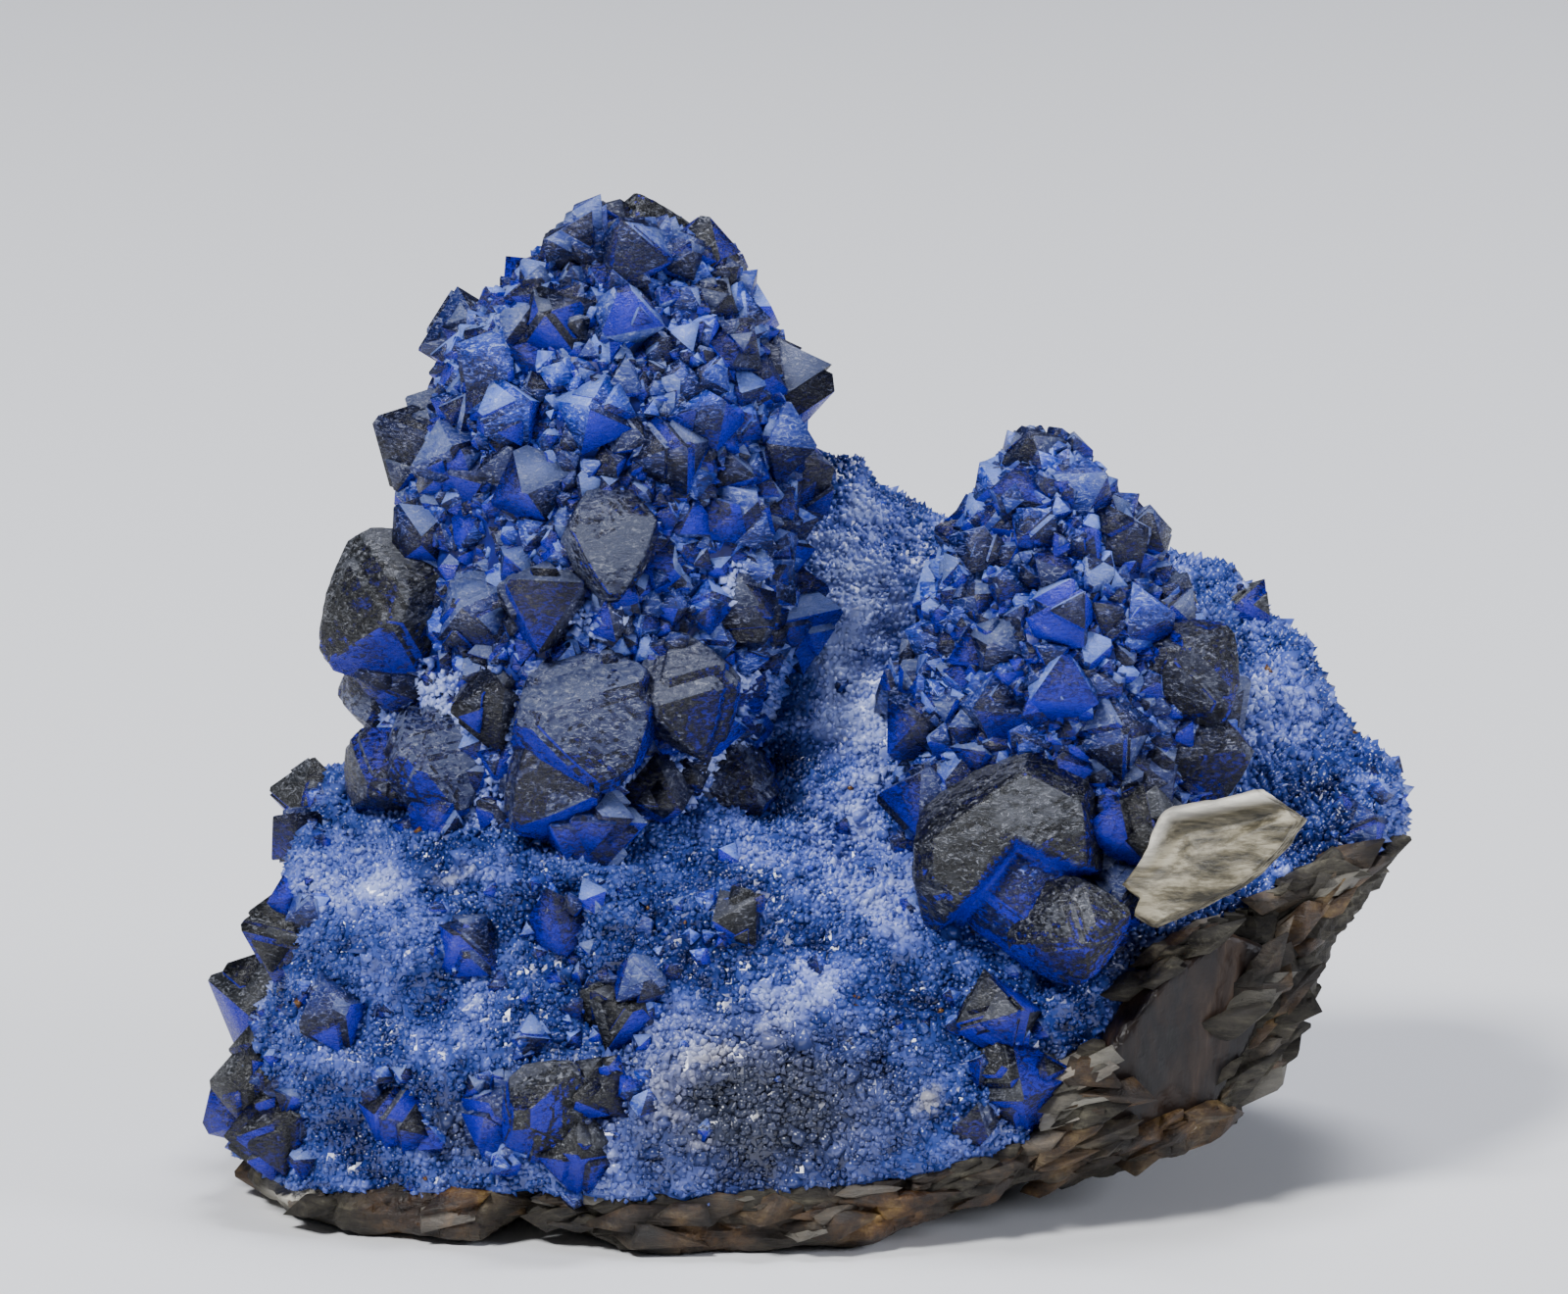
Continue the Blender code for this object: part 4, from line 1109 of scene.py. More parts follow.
def pointed_grains(spots: np.ndarray, normals: np.ndarray, sizes: np.ndarray,
                   draw: np.random.Generator) -> tuple[np.ndarray, np.ndarray]:
    """Make one small four-sided crystal tip on each spot.

    Args:
        spots: places on the surface.
        normals: the way out at each place.
        sizes: the width of each tip.
        draw: the source of unevenness.

    Returns:
        Points and triangles.
    """
    count = len(spots)
    lean = normals + draw.normal(0, 0.38, (count, 3))
    lean /= np.linalg.norm(lean, axis=1, keepdims=True)
    helper = draw.normal(0, 1, (count, 3))
    side = np.cross(lean, helper)
    side /= np.linalg.norm(side, axis=1, keepdims=True)
    other = np.cross(lean, side)
    slide = draw.uniform(-0.35, 0.35, (count, 2)) * sizes[:, None]
    base = spots + side * slide[:, :1] + other * slide[:, 1:] - lean * (0.3 * sizes)[:, None]
    tip = base + lean * (sizes * draw.uniform(0.7, 1.25, count))[:, None]
    points = np.empty((count, 5, 3))
    points[:, 4] = tip
    for corner in range(4):
        angle = math.tau * corner / 4
        wide = (sizes * draw.uniform(0.5, 0.85, count))[:, None]
        points[:, corner] = base + (side * math.cos(angle) + other * math.sin(angle)) * wide
    template = np.array([(0, 1, 4), (1, 2, 4), (2, 3, 4), (3, 0, 4), (0, 2, 1), (0, 3, 2)])
    faces = (template[None] + 5 * np.arange(count)[:, None, None]).reshape(-1, 3)
    return points.reshape(-1, 3), faces


def surface_spots(points: np.ndarray, faces: np.ndarray, number: int,
                  draw: np.random.Generator) -> tuple[np.ndarray, np.ndarray]:
    """Pick places all over a surface.

    Args:
        points: the surface's points.
        faces: its triangles.
        number: how many places are picked.
        draw: the source of chance.

    Returns:
        The places and the way out of the surface at each.
    """
    corners = points[faces]
    cross = np.cross(corners[:, 1] - corners[:, 0], corners[:, 2] - corners[:, 0])
    area = np.linalg.norm(cross, axis=1)
    pick = draw.choice(len(faces), number, p=area / area.sum())
    weights = draw.dirichlet((1, 1, 1), number)
    return (corners[pick] * weights[..., None]).sum(axis=1), cross[pick] / area[pick, None]


@dataclass
class Crowd:
    """The places that crystals have taken so far, and how large each is."""

    spots: list[Vector] = field(default_factory=list)
    sizes: list[float] = field(default_factory=list)

    def take(self, spot: Vector, size: float) -> None:
        """Note a crystal's place and half size."""
        self.spots.append(Vector(spot))
        self.sizes.append(size)

    def sift(self, spots: np.ndarray, sizes: np.ndarray, closeness: float) -> list[int]:
        """Choose the places that still have room, and take them.

        Args:
            spots: places, tried in order.
            sizes: the half size of the crystal at each.
            closeness: the least distance, as a share of both half sizes.

        Returns:
            The numbers of the chosen places.
        """
        known = np.zeros((len(self.spots) + len(spots), 4))
        count = len(self.spots)
        if count:
            known[:count, :3] = [spot[:] for spot in self.spots]
            known[:count, 3] = self.sizes
        chosen = []
        for index, (spot, size) in enumerate(zip(spots, sizes)):
            far = ((known[:count, :3] - spot) ** 2).sum(axis=1)
            if (far < (closeness * (known[:count, 3] + size)) ** 2).any():
                continue
            known[count] = (*spot, size)
            count += 1
            chosen.append(index)
            self.take(Vector(spot), size)
        return chosen


@dataclass
class FluoriteStalk:
    """A stalk: an intergrown core that is covered with fluorite octahedra."""

    name: str
    node: str
    rows: tuple[tuple[float, float, float, float, float], ...]
    front: tuple[tuple[float, float, float, float], ...]
    around: tuple[tuple[float, float, float, float, float], ...]
    fills: tuple[tuple[int, float, float, float], ...]
    quartz: tuple[Patch, ...]
    quartz_below: float
    seed: int
    grow: float = -0.5
    flat: tuple[int, ...] = ()
    notches: tuple[tuple[int, Notch], ...] = ()
    raised: tuple[tuple[int, float], ...] = ()

    def half_sizes(self, heights: np.ndarray) -> tuple[np.ndarray, np.ndarray]:
        """Read the core's middle and half sizes at some heights."""
        table = np.array(self.rows)
        columns = [np.interp(heights, table[:, 0], table[:, place]) for place in (1, 2, 3, 4)]
        return np.stack(columns[:2], axis=1), np.stack(columns[2:], axis=1)

    def hides(self, points: np.ndarray) -> np.ndarray:
        """Say which points lie well inside the core."""
        middle, half = self.half_sizes(points[:, 2])
        off = (points[:, :2] - middle) / (half - 1.2)
        inside = (off ** 2).sum(axis=1) < 1
        return inside & (points[:, 2] > self.rows[0][0]) & (points[:, 2] < self.rows[-1][0])

    def core_arrays(self) -> tuple[np.ndarray, np.ndarray]:
        """Make the core's closed surface."""
        sides = 110
        low, high = self.rows[0][0], self.rows[-1][0]
        levels = int((high - low) / 0.7)
        heights = np.linspace(low, high, levels)
        middle, half = self.half_sizes(heights)
        half = half + self.grow
        angles = math.tau * np.arange(sides) / sides
        ring = np.stack([np.cos(angles), np.sin(angles)], axis=1)
        flat = middle[:, None, :] + half[:, None, :] * ring[None]
        points = np.concatenate([flat, np.repeat(heights[:, None], sides, 1)[..., None]], axis=2)
        points = points.reshape(-1, 3)
        out = np.tile(np.concatenate([ring, np.zeros((sides, 1))], axis=1), (levels, 1))
        push = 0.9 * layered_noise(points, 4.5, self.seed, 4)
        points = points + out * push[:, None]
        top = np.array([[*middle[-1], high + 0.8]])
        foot = np.array([[*middle[0], low]])
        points = np.concatenate([points, top, foot])
        faces = []
        for level in range(levels - 1):
            for side in range(sides):
                a = level * sides + side
                b = level * sides + (side + 1) % sides
                faces += [(a, b, b + sides), (a, b + sides, a + sides)]
        last = (levels - 1) * sides
        for side in range(sides):
            after = (side + 1) % sides
            faces.append((last + side, last + after, len(points) - 2))
            faces.append((after, side, len(points) - 1))
        return points, np.array(faces)

    def in_quartz(self, points: np.ndarray) -> np.ndarray:
        """Say which places are left to pale quartz."""
        up = points[:, 1] * math.sin(VIEW_TILT) + points[:, 2] * math.cos(VIEW_TILT)
        wobble = layered_noise(points, 2.5, self.seed + 7, 3)
        share = np.zeros(len(points))
        for patch in self.quartz:
            share = np.maximum(share, patch.share(points[:, 0] + wobble, up + wobble))
        share = share * (points[:, 1] < 4)
        low = np.clip((self.quartz_below - points[:, 2]) / 8, -1, 0.75) + 0.9 * wobble
        return (share > 0.25) | (low > 0.45)

    def build(self, material: bpy.types.Material, core_material: bpy.types.Material,
              hill: QuartzHill) -> None:
        """Make the core, its crystals and the quartz between them."""
        points, faces = self.core_arrays()
        core = Shell()
        core.add(points, faces)
        tree = tree_of(points, faces)
        core.piece(f"{self.name}_core", core_material, Slot.FLUORITE).data.shade_smooth()
        crowd = Crowd()
        draw = np.random.default_rng(self.seed)
        large = self.chosen(tree, crowd, draw)
        small: list[Crystal] = []
        for mark, (tries, least, most, closeness) in enumerate(self.fills):
            spots, normals = surface_spots(points, faces, tries, draw)
            keep = self.in_the_open(spots, hill.tree)
            if most < 2:
                keep &= ~self.in_quartz(spots)
            spots, normals = spots[keep], normals[keep]
            sizes = draw.uniform(least, most, len(spots))
            for index in crowd.sift(spots, sizes, closeness):
                small.append(plant(Vector(spots[index]), Vector(normals[index]), sizes[index],
                                   draw.uniform(0, 90), draw.uniform(0.15, 0.7),
                                   draw.random() < 0.6,
                                   self.seed * 1000 + mark * 20000 + index))
        for label, crystals in (("large", large), ("small", small)):
            shell = Shell()
            for crystal in crystals:
                crystal.grow(shell)
            piece = shell.piece(f"{self.name}_{label}_crystals", material, Slot.FLUORITE)
            log.info("%d crystals, %d triangles", len(crystals), shell.triangles())
            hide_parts(self.node)
        self.sugar(points, faces, hill, draw)

    def chosen(self, tree: BVHTree, crowd: Crowd, draw: np.random.Generator) -> list[Crystal]:
        """Place the crystals that the stalk's sizes name one by one."""
        made = []
        notches = dict(self.notches)
        raised = dict(self.raised)
        for index, (across, up, radius, spin) in enumerate(self.front):
            spot, normal = front_spot(tree, across, up)
            spot = spot + normal * (raised.get(index, 0.0) - self.grow)
            tip = index not in self.flat and draw.random() < 0.6
            made.append(plant(spot, normal, radius, spin, Host.STALK.value, tip,
                              self.seed * 100 + index, notches.get(index)))
            made[-1].shade = 0.35 if index in raised else 0.0
            crowd.take(spot, radius)
        for index, (x, y, z, radius, spin) in enumerate(self.around):
            spot, normal, _, _ = tree.find_nearest(Vector((x, y, z)))
            spot = spot + normal * (raised.get(len(self.front) + index, 0.0) - self.grow)
            tip = len(self.front) + index not in self.flat and draw.random() < 0.5
            made.append(plant(spot, normal, radius, spin, Host.STALK.value, tip,
                              self.seed * 100 + 60 + index))
            made[-1].shade = 0.35 if len(self.front) + index in raised else 0.0
            crowd.take(spot, radius)
        return made

    def in_the_open(self, spots: np.ndarray, hill: BVHTree) -> np.ndarray:
        """Say which places aren't buried in the hill."""
        keep = np.ones(len(spots), dtype=bool)
        for index, spot in enumerate(spots):
            near, normal, _, _ = hill.find_nearest(Vector(spot))
            keep[index] = (Vector(spot) - near).dot(normal) > -0.5
        return keep

    def sugar(self, points: np.ndarray, faces: np.ndarray, hill: QuartzHill,
              draw: np.random.Generator) -> None:
        """Cover the quartz patches with small quartz crystals."""
        spots, normals = surface_spots(points, faces, 40000, draw)
        keep = self.in_quartz(spots)
        spots, normals = spots[keep], normals[keep]
        keep = self.in_the_open(spots, hill.tree)
        spots, normals = spots[keep], normals[keep]
        spots = spots + normals * (0.5 + 0.7 * layered_noise(spots, 2.2, 91, 3))[:, None]
        sizes = hill.grain * draw.uniform(0.8, 1.7, len(spots))
        shell = Shell()
        rows, grains = pointed_grains(spots, normals, sizes, draw)
        tone = 1.0 + 0.9 * layered_noise(spots, 3.0, 97, 2)
        shell.add(rows, grains, lift=np.repeat(tone, 5), grey=0.0)
        shell.piece(f"{self.name}_quartz", hill.material, Slot.QUARTZ)


@dataclass
class FluoriteGroup:
    """A few crystals on the druse: across, up, radius and spin of each in the front view.

    A group on the back names the nearest place on the druse instead: x, y, z, radius
    and spin.
    """

    name: str
    rows: tuple[tuple[float, ...], ...]
    shade: float = 0.45

    def nodes(self) -> list[str]:
        """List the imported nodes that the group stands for."""
        return [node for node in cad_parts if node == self.name
                or node.startswith(self.name + "_") and node[len(self.name) + 1:].isdigit()]

    def build(self, tree: BVHTree, material: bpy.types.Material, seed: int) -> None:
        """Make the crystals and small ones around them."""
        draw = np.random.default_rng(seed)
        shell = Shell()
        for index, (*place, radius, spin) in enumerate(self.rows):
            if len(place) == 2:
                spot, normal = front_spot(tree, *place)
            else:
                spot, normal, _, _ = tree.find_nearest(Vector(place))
            crystal = plant(spot, normal, radius, spin, Host.DRUSE.value, draw.random() < 0.6,
                            seed * 100 + index)
            crystal.shade = self.shade
            crystal.grow(shell)
            for extra in range(6):
                shift = Vector(draw.normal(0, 1, 3)).normalized() * radius * draw.uniform(0.8, 1.5)
                near, out, _, _ = tree.find_nearest(spot + shift)
                plant(near, out, radius * draw.uniform(0.2, 0.45), draw.uniform(0, 90), 0.1,
                      draw.random() < 0.6, seed * 100 + 10 * index + extra + 30).grow(shell)
        piece = shell.piece(f"{self.name}_crystals", material, Slot.FLUORITE)
        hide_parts(*self.nodes())


@dataclass
class ScatteredFluorite:
    """Small blue crystals that are strewn over the druse, thickest near the stalks."""

    thick: tuple[Patch, ...]
    tries: int = 1500
    least: float = 0.35
    most: float = 1.15
    closeness: float = 1.0
    seed: int = 88

    def build(self, hill: QuartzHill, material: bpy.types.Material,
              covers: list[FluoriteStalk]) -> None:
        """Make the crystals."""
        draw = np.random.default_rng(self.seed)
        spots, normals = surface_spots(hill.points, hill.faces, self.tries, draw)
        up = spots[:, 1] * math.sin(VIEW_TILT) + spots[:, 2] * math.cos(VIEW_TILT)
        chance = np.full(len(spots), 0.12)
        for patch in self.thick:
            chance = np.maximum(chance, patch.lift * patch.share(spots[:, 0], up))
        keep = (normals[:, 2] > -0.4) & (draw.random(len(spots)) < chance)
        for cover in covers:
            keep &= ~cover.hides(spots)
        spots, normals = spots[keep], normals[keep]
        sizes = self.least + (self.most - self.least) * draw.random(len(spots)) ** 2
        shell = Shell()
        for index in Crowd().sift(spots, sizes, self.closeness):
            plant(Vector(spots[index]), Vector(normals[index]), sizes[index],
                  draw.uniform(0, 90), 0.0, draw.random() < 0.5,
                  self.seed * 1000 + index).grow(shell)
        shell.piece("scattered_fluorite", material, Slot.FLUORITE)


@dataclass
class HostRock:
    """The foliated rock that the druse grew on."""

    amber: tuple[Patch, ...]
    chips: tuple[Patch, ...]
    seams: tuple[RockSeam, ...]
    finish: RockFinish = field(default_factory=RockFinish)
    voxel: float = 0.55
    seam: float = 2.4
    loose: int = 700

    def build(self) -> None:
        """Make the rock's broken, layered surface."""
        mesh = remeshed("host_rock", self.voxel, 2)
        points, _ = mesh_arrays(mesh)
        normals = vertex_normals(mesh)
        bent = points[:, 2] - 0.011 * np.maximum(points[:, 0], 0) ** 2
        leaves = np.stack([points[:, 0] * 0.14, points[:, 1] * 0.14, bent * 0.8], axis=1)
        ledge = 0.5 - np.abs(layered_noise(leaves, 1.0, 31, 3))
        push = 1.3 * ledge + 0.8 * layered_noise(points, 5.0, 37, 3)
        push += 0.3 * layered_noise(points, 1.6, 39, 2)
        spar = tree_of(*mesh_arrays(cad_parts["brown_spar"].data))
        far = np.array([spar.find_nearest(Vector(point))[3] for point in points])
        push += 0.9 * np.clip(1 - far / self.seam, 0, 1)
        flat = np.clip(points[:, 2] / 0.8, 0, 1)
        points = points + normals * (push * flat)[:, None]
        points[:, 2] = np.maximum(points[:, 2], 0.0)
        mesh.vertices.foreach_set("co", (points * MM).astype(np.float32).ravel())
        mesh.update()
        up = points[:, 1] * math.sin(VIEW_TILT) + points[:, 2] * math.cos(VIEW_TILT)
        for label, patches in (("amber", self.amber), ("chip", self.chips)):
            share = np.zeros(len(points))
            for patch in patches:
                share = np.maximum(share, patch.lift * patch.share(points[:, 0], up))
            set_values(mesh, label, share)
        material = self.finish.make()
        mesh.materials.append(material)
        piece = finish_piece(bpy.data.objects.new("host_rock_surface", mesh))
        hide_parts("host_rock")
        rows = [mesh_arrays(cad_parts[node].data) for node in ("host_rock", "brown_spar")]
        shift = len(rows[0][0])
        tree = tree_of(np.concatenate([rows[0][0], rows[1][0]]),
                       np.concatenate([rows[0][1], rows[1][1] + shift]))
        shell = Shell()
        draw = np.random.default_rng(SEED + 5)
        for seam in self.seams:
            seam.add(shell, tree, draw, self.amber, self.chips)
        spots, normals = surface_spots(*rows[0], self.loose, draw)
        for spot, way in zip(spots, normals):
            if way[1] > -0.45 and abs(way[2]) < 0.8 and spot[2] > 0.8:
                size = draw.uniform(1.0, 2.6)
                self.seams[0].slab(shell, spot - way * 0.55 * size, size, draw.normal(0.1, 0.12),
                                   draw, heading=math.atan2(way[0], -way[1]))
        shell.piece("host_rock_slabs", material, Slot.ROCK)


@dataclass
class RockSeam:
    """A run of broken slabs of the host rock, along a line in the front view."""

    line: tuple[tuple[float, float], ...]
    count: int
    width: float
    least: float
    most: float
    flat: float = 0.5

    def add(self, shell: Shell, tree: BVHTree, draw: np.random.Generator,
            amber: tuple[Patch, ...], chips: tuple[Patch, ...]) -> None:
        """Add the slabs' surfaces to a shell, amber and white where the patches say so."""
        loop = np.array(self.line)
        run = np.concatenate([[0], np.cumsum(np.linalg.norm(np.diff(loop, axis=0), axis=1))])
        for share in draw.uniform(0, run[-1], self.count):
            across, up = (np.interp(share, run, loop[:, axis]) + draw.normal(0, self.width)
                          for axis in (0, 1))
            spot, _ = front_spot(tree, across, up)
            slope = 0.15 + 0.45 * np.clip((across - 8) / 30, 0, 1) + draw.normal(0, 0.16)
            warm, white = (max(patch.lift * float(patch.share(across, up)) for patch in patches)
                           for patches in (amber, chips))
            self.slab(shell, np.array(spot), draw.uniform(self.least, self.most), slope, draw,
                      warm, white)

    def slab(self, shell: Shell, spot: np.ndarray, size: float, slope: float,
             draw: np.random.Generator, warm: float = 0.0, white: float = 0.0,
             heading: float = 0.0) -> None:
        """Add one slab: a flat block between broken faces, with its length along a heading."""
        points, faces = FORMS[draw.integers(len(FORMS))]
        spin = Matrix.Rotation(draw.uniform(0, math.tau), 3, draw.normal(size=3))
        points = (points @ np.array(spin)) * [1.6, 1.0, self.flat] * size * 1.25
        turn = Matrix.Rotation(-slope, 3, "Y") @ Matrix.Rotation(draw.normal(0, 0.2), 3, "X")
        turn = turn @ Matrix.Rotation(heading, 3, "Z")
        points = points @ np.array(turn).T + spot
        points[:, 2] -= min(0.0, points[:, 2].min())
        shell.add(points, faces, amber=max(warm, draw.uniform(-0.6, 0.7), 0.0),
                  chip=max(white, draw.uniform(-1.2, 0.3), 0.0))


@dataclass
class BrownSpar:
    """The brown cleaved mass in the rock's right side."""

    finish: SparFinish = field(default_factory=SparFinish)
    voxel: float = 0.32

    def build(self) -> None:
        """Make the spar's cleavage faces with fine slanting streaks in their relief."""
        mesh = remeshed("brown_spar", self.voxel, 5)
        points, _ = mesh_arrays(mesh)
        normals = vertex_normals(mesh)
        drawn = np.stack([points[:, 0] + 0.8 * points[:, 2], points[:, 1],
                          0.2 * points[:, 2] - 0.2 * points[:, 0]], axis=1)
        push = 0.35 * layered_noise(drawn, 2.4, 41, 3) + 0.12 * layered_noise(points, 1.6, 43, 3)
        points = points + normals * push[:, None]
        mesh.vertices.foreach_set("co", (points * MM).astype(np.float32).ravel())
        mesh.update()
        mesh.materials.append(self.finish.make())
        piece = finish_piece(bpy.data.objects.new("brown_spar_surface", mesh))
        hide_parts("brown_spar")


@dataclass
class CreamBlade:
    """The cream plate: a stack of thin, wavy sheets with broken edges.

    The outline is measured across and up in the front view, in millimetres.
    """

    finish: BladeFinish = field(default_factory=BladeFinish)
    outline: tuple[tuple[float, float], ...] = (
        (26.8, 22.1), (28.9, 25.0), (29.6, 27.2), (30.7, 28.1), (33.9, 28.5), (37.0, 29.4),
        (40.0, 27.2), (38.9, 25.4), (37.0, 23.3), (35.4, 22.1), (32.3, 20.5), (29.1, 19.0),
        (27.6, 19.9), (28.1, 21.1))
    middle: tuple[float, float, float] = (34.0, -17.0, 28.1)
    facing: tuple[float, float, float] = (-0.3, -0.91, 0.28)
    sheets: tuple[float, ...] = (0.96, 0.94, 0.98, 0.96, 1.0, 0.95, 0.99, 0.93)
    thick: float = 2.0
    sheet_thick: float = 0.2
    roll: float = 1.0
    around: int = 120
    rings: int = 12

    def build(self) -> None:
        """Make the stack."""
        way = Vector(self.facing).normalized()
        shell = Shell()
        for number, size in enumerate(self.sheets):
            depth = self.thick * (0.5 - number / (len(self.sheets) - 1))
            self.sheet(shell, np.array(way), size, depth, number)
        piece = shell.piece("cream_blade_sheets", self.finish.make(), Slot.BLADE)
        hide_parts("cream_blade")

    def edge(self, way: Vector) -> np.ndarray:
        """Lay the outline on the blade's plane and divide it evenly."""
        spots = []
        for across, up in self.outline:
            start, ray = view_ray(across, up)
            spots.append(start + ray * ((Vector(self.middle) - start).dot(way) / ray.dot(way)))
        loop = np.array([*spots, spots[0]])
        run = np.concatenate([[0], np.cumsum(np.linalg.norm(np.diff(loop, axis=0), axis=1))])
        steps = np.linspace(0, run[-1], self.around, endpoint=False)
        return np.stack([np.interp(steps, run, loop[:, axis]) for axis in range(3)], axis=1)

    def fold(self, points: np.ndarray) -> np.ndarray:
        """Give how far each place is raised in the rolled rim along the upper left edge."""
        up = points[:, 1] * math.sin(VIEW_TILT) + points[:, 2] * math.cos(VIEW_TILT)
        inside = np.full(len(points), np.inf)
        for start, end in ((self.outline[0], self.outline[2]), (self.outline[3], self.outline[5])):
            run = np.array(end) - np.array(start)
            run /= np.linalg.norm(run)
            inside = np.minimum(inside, (points[:, 0] - start[0]) * run[1]
                                - (up - start[1]) * run[0])
        roll = np.exp(-((inside - 0.7) / 0.55) ** 2) - 0.5 * np.exp(-((inside - 2.1) / 0.8) ** 2)
        return roll * np.clip((up - 23) / 2.5, 0, 1)

    def sheet(self, shell: Shell, way: np.ndarray, size: float, depth: float, number: int) -> None:
        """Add one closed sheet to the shell."""
        edge = self.edge(Vector(way))
        middle = edge.mean(axis=0)
        ragged = 1 + 0.04 * layered_noise(edge, 1.4, 200 + number, 3)
        shares = np.linspace(0, 1, self.rings + 1)[1:] ** 0.7
        rim = middle + (edge - middle) * (size * ragged)[:, None]
        rows = middle + (rim - middle)[None] * shares[:, None, None]
        flat = np.concatenate([middle[None], rows.reshape(-1, 3)])
        along = 0.88 * flat[:, 0] + 0.47 * flat[:, 2]
        cross = 0.88 * flat[:, 2] - 0.47 * flat[:, 0]
        drawn = np.stack([along * 0.22, cross, np.zeros(len(flat))], axis=1)
        rolled = self.fold(flat)
        wave = 0.5 * layered_noise(flat, 6.0, 53, 2) + self.roll * rolled
        wave += 0.45 * (0.5 - np.abs(layered_noise(drawn, 2.6, 59 + number // 3, 3)))
        half = self.sheet_thick / 2
        front = flat + way * (wave + depth + half)[:, None]
        back = flat + way * (wave + depth - half)[:, None]
        faces = []
        count = len(flat)
        for side in range(self.around):
            after = (side + 1) % self.around
            faces.append((0, 1 + side, 1 + after))
            faces.append((count, count + 1 + after, count + 1 + side))
            for ring in range(self.rings - 1):
                a = 1 + ring * self.around + side
                b = 1 + ring * self.around + after
                faces += [(a, a + self.around, b + self.around), (a, b + self.around, b)]
                faces += [(count + a, count + b + self.around, count + a + self.around),
                          (count + a, count + b, count + b + self.around)]
            last = 1 + (self.rings - 1) * self.around
            a, b = last + side, last + after
            faces += [(a, count + a, count + b), (a, count + b, b)]
        order = np.array(faces)
        if np.dot(np.cross(edge[0] - middle, edge[self.around // 4] - middle), way) < 0:
            order = order[:, ::-1]
        # The rolled values also mark where the finish paints the rim's highlight
        shell.add(np.concatenate([front, back]), order, rolled=np.tile(np.clip(rolled, 0, 1), 2))


TALL = FluoriteStalk(
    name="tall_stalk",
    node="fluorite_tall_stalk",
    rows=(
        (20, -15.0, 3.5, 14.0, 12.5), (27, -15.2, 3.5, 15.2, 14.0), (34, -14.8, 3.8, 15.4, 14.5),
        (41, -13.2, 4.0, 15.8, 14.5), (48.5, -12.3, 4.2, 15.9, 14.2), (56, -12.0, 4.5, 15.0, 13.2),
        (63, -11.4, 4.8, 12.6, 11.2), (67.5, -10.2, 5.0, 9.8, 9.0), (71.0, -9.6, 5.2, 5.8, 5.6),
        (72.2, -9.2, 5.5, 3.0, 3.2),
    ),
    front=(
        (-13.5, 69.6, 3.2, 20), (-9.6, 69.0, 3.0, 65), (-6.4, 68.8, 2.4, 40),
        (-15.0, 63.9, 3.2, 15), (-10.4, 64.4, 2.6, 50), (-20.2, 61.0, 2.8, 35), (-3.0, 62.5, 2.8, 70),
        (-18.4, 57.0, 2.9, 5), (-12.6, 57.4, 2.7, 80), (-4.5, 57.2, 2.6, 25), (1.0, 55.0, 2.8, 55),
        (-7.1, 54.0, 3.0, 33), (-23.0, 54.2, 2.7, 61), (-17.0, 52.0, 2.9, 12), (-25.2, 48.4, 2.9, 47),
        (-11.6, 48.0, 4.6, 0), (-2.2, 50.0, 3.0, 75), (-21.0, 42.9, 3.4, 20), (-16.4, 42.9, 3.5, 66),
        (-13.5, 34.4, 6.2, 8), (-15.4, 29.8, 4.6, 52), (-6.0, 36.6, 4.9, 30), (-24.8, 31.8, 4.9, 14),
        (-2.6, 28.8, 5.0, 44), (-13.4, 26.6, 4.0, 5), (-24.0, 27.0, 2.6, 27), (-1.4, 42.6, 3.0, 58),
        (-20.0, 35.6, 3.0, 71), (-27.0, 37.6, 3.0, 16), (-8.0, 29.4, 3.2, 38),
    ),
    around=(
        (-8.3, 7.5, 69.6, 5.4, 12), (-18.0, 10.0, 66.6, 3.2, 40), (-22.2, 9.0, 62.8, 3.4, 66),
        (-26.8, 4.5, 56.2, 3.7, 18), (-29.2, -1.0, 44.4, 6.2, 30), (-31.2, 3.0, 37.2, 4.2, 55),
        (-30.2, -3.5, 31.6, 4.4, 8), (2.0, 4.0, 60.2, 3.9, 25), (4.0, 6.0, 52.4, 3.4, 50),
        (3.8, 2.0, 42.6, 3.6, 72), (-9.0, 16.0, 62.0, 4.2, 33), (-20.0, 17.0, 54.0, 4.4, 61),
        (-5.0, 18.5, 50.0, 4.2, 14), (-24.0, 14.0, 44.0, 4.8, 47), (-15.0, 18.5, 43.5, 4.6, 5),
        (-11.6, 4.0, 70.4, 3.0, 25), (-4.8, 4.0, 69.8, 2.9, 70),
    ),
    fills=((3000, 1.6, 2.3, 0.56), (14000, 1.0, 1.6, 0.46), (34000, 0.5, 0.95, 0.44)),
    quartz=(
        Patch(-0.75, 44.4, 3.0, 2.6, 1), Patch(0.5, 37.0, 3.0, 3.6, 1), Patch(-29, 37, 2.4, 3.0, 1),
        Patch(-27, 32.5, 2.4, 3.0, 1), Patch(-18, 29.5, 2.4, 2.4, 1), Patch(-5, 31.5, 3.4, 2.2, 1),
        Patch(-12.5, 42.0, 2.8, 1.6, 1), Patch(-19.5, 26.5, 3.0, 2.4, 1),
    ),
    quartz_below=41.0,
    seed=64,
    grow=-1.0,
    flat=(15, 19, 21, 30, 45, 46),
    raised=((30, -4.2), (31, -0.8), (45, -0.8), (46, -1.2)),
)

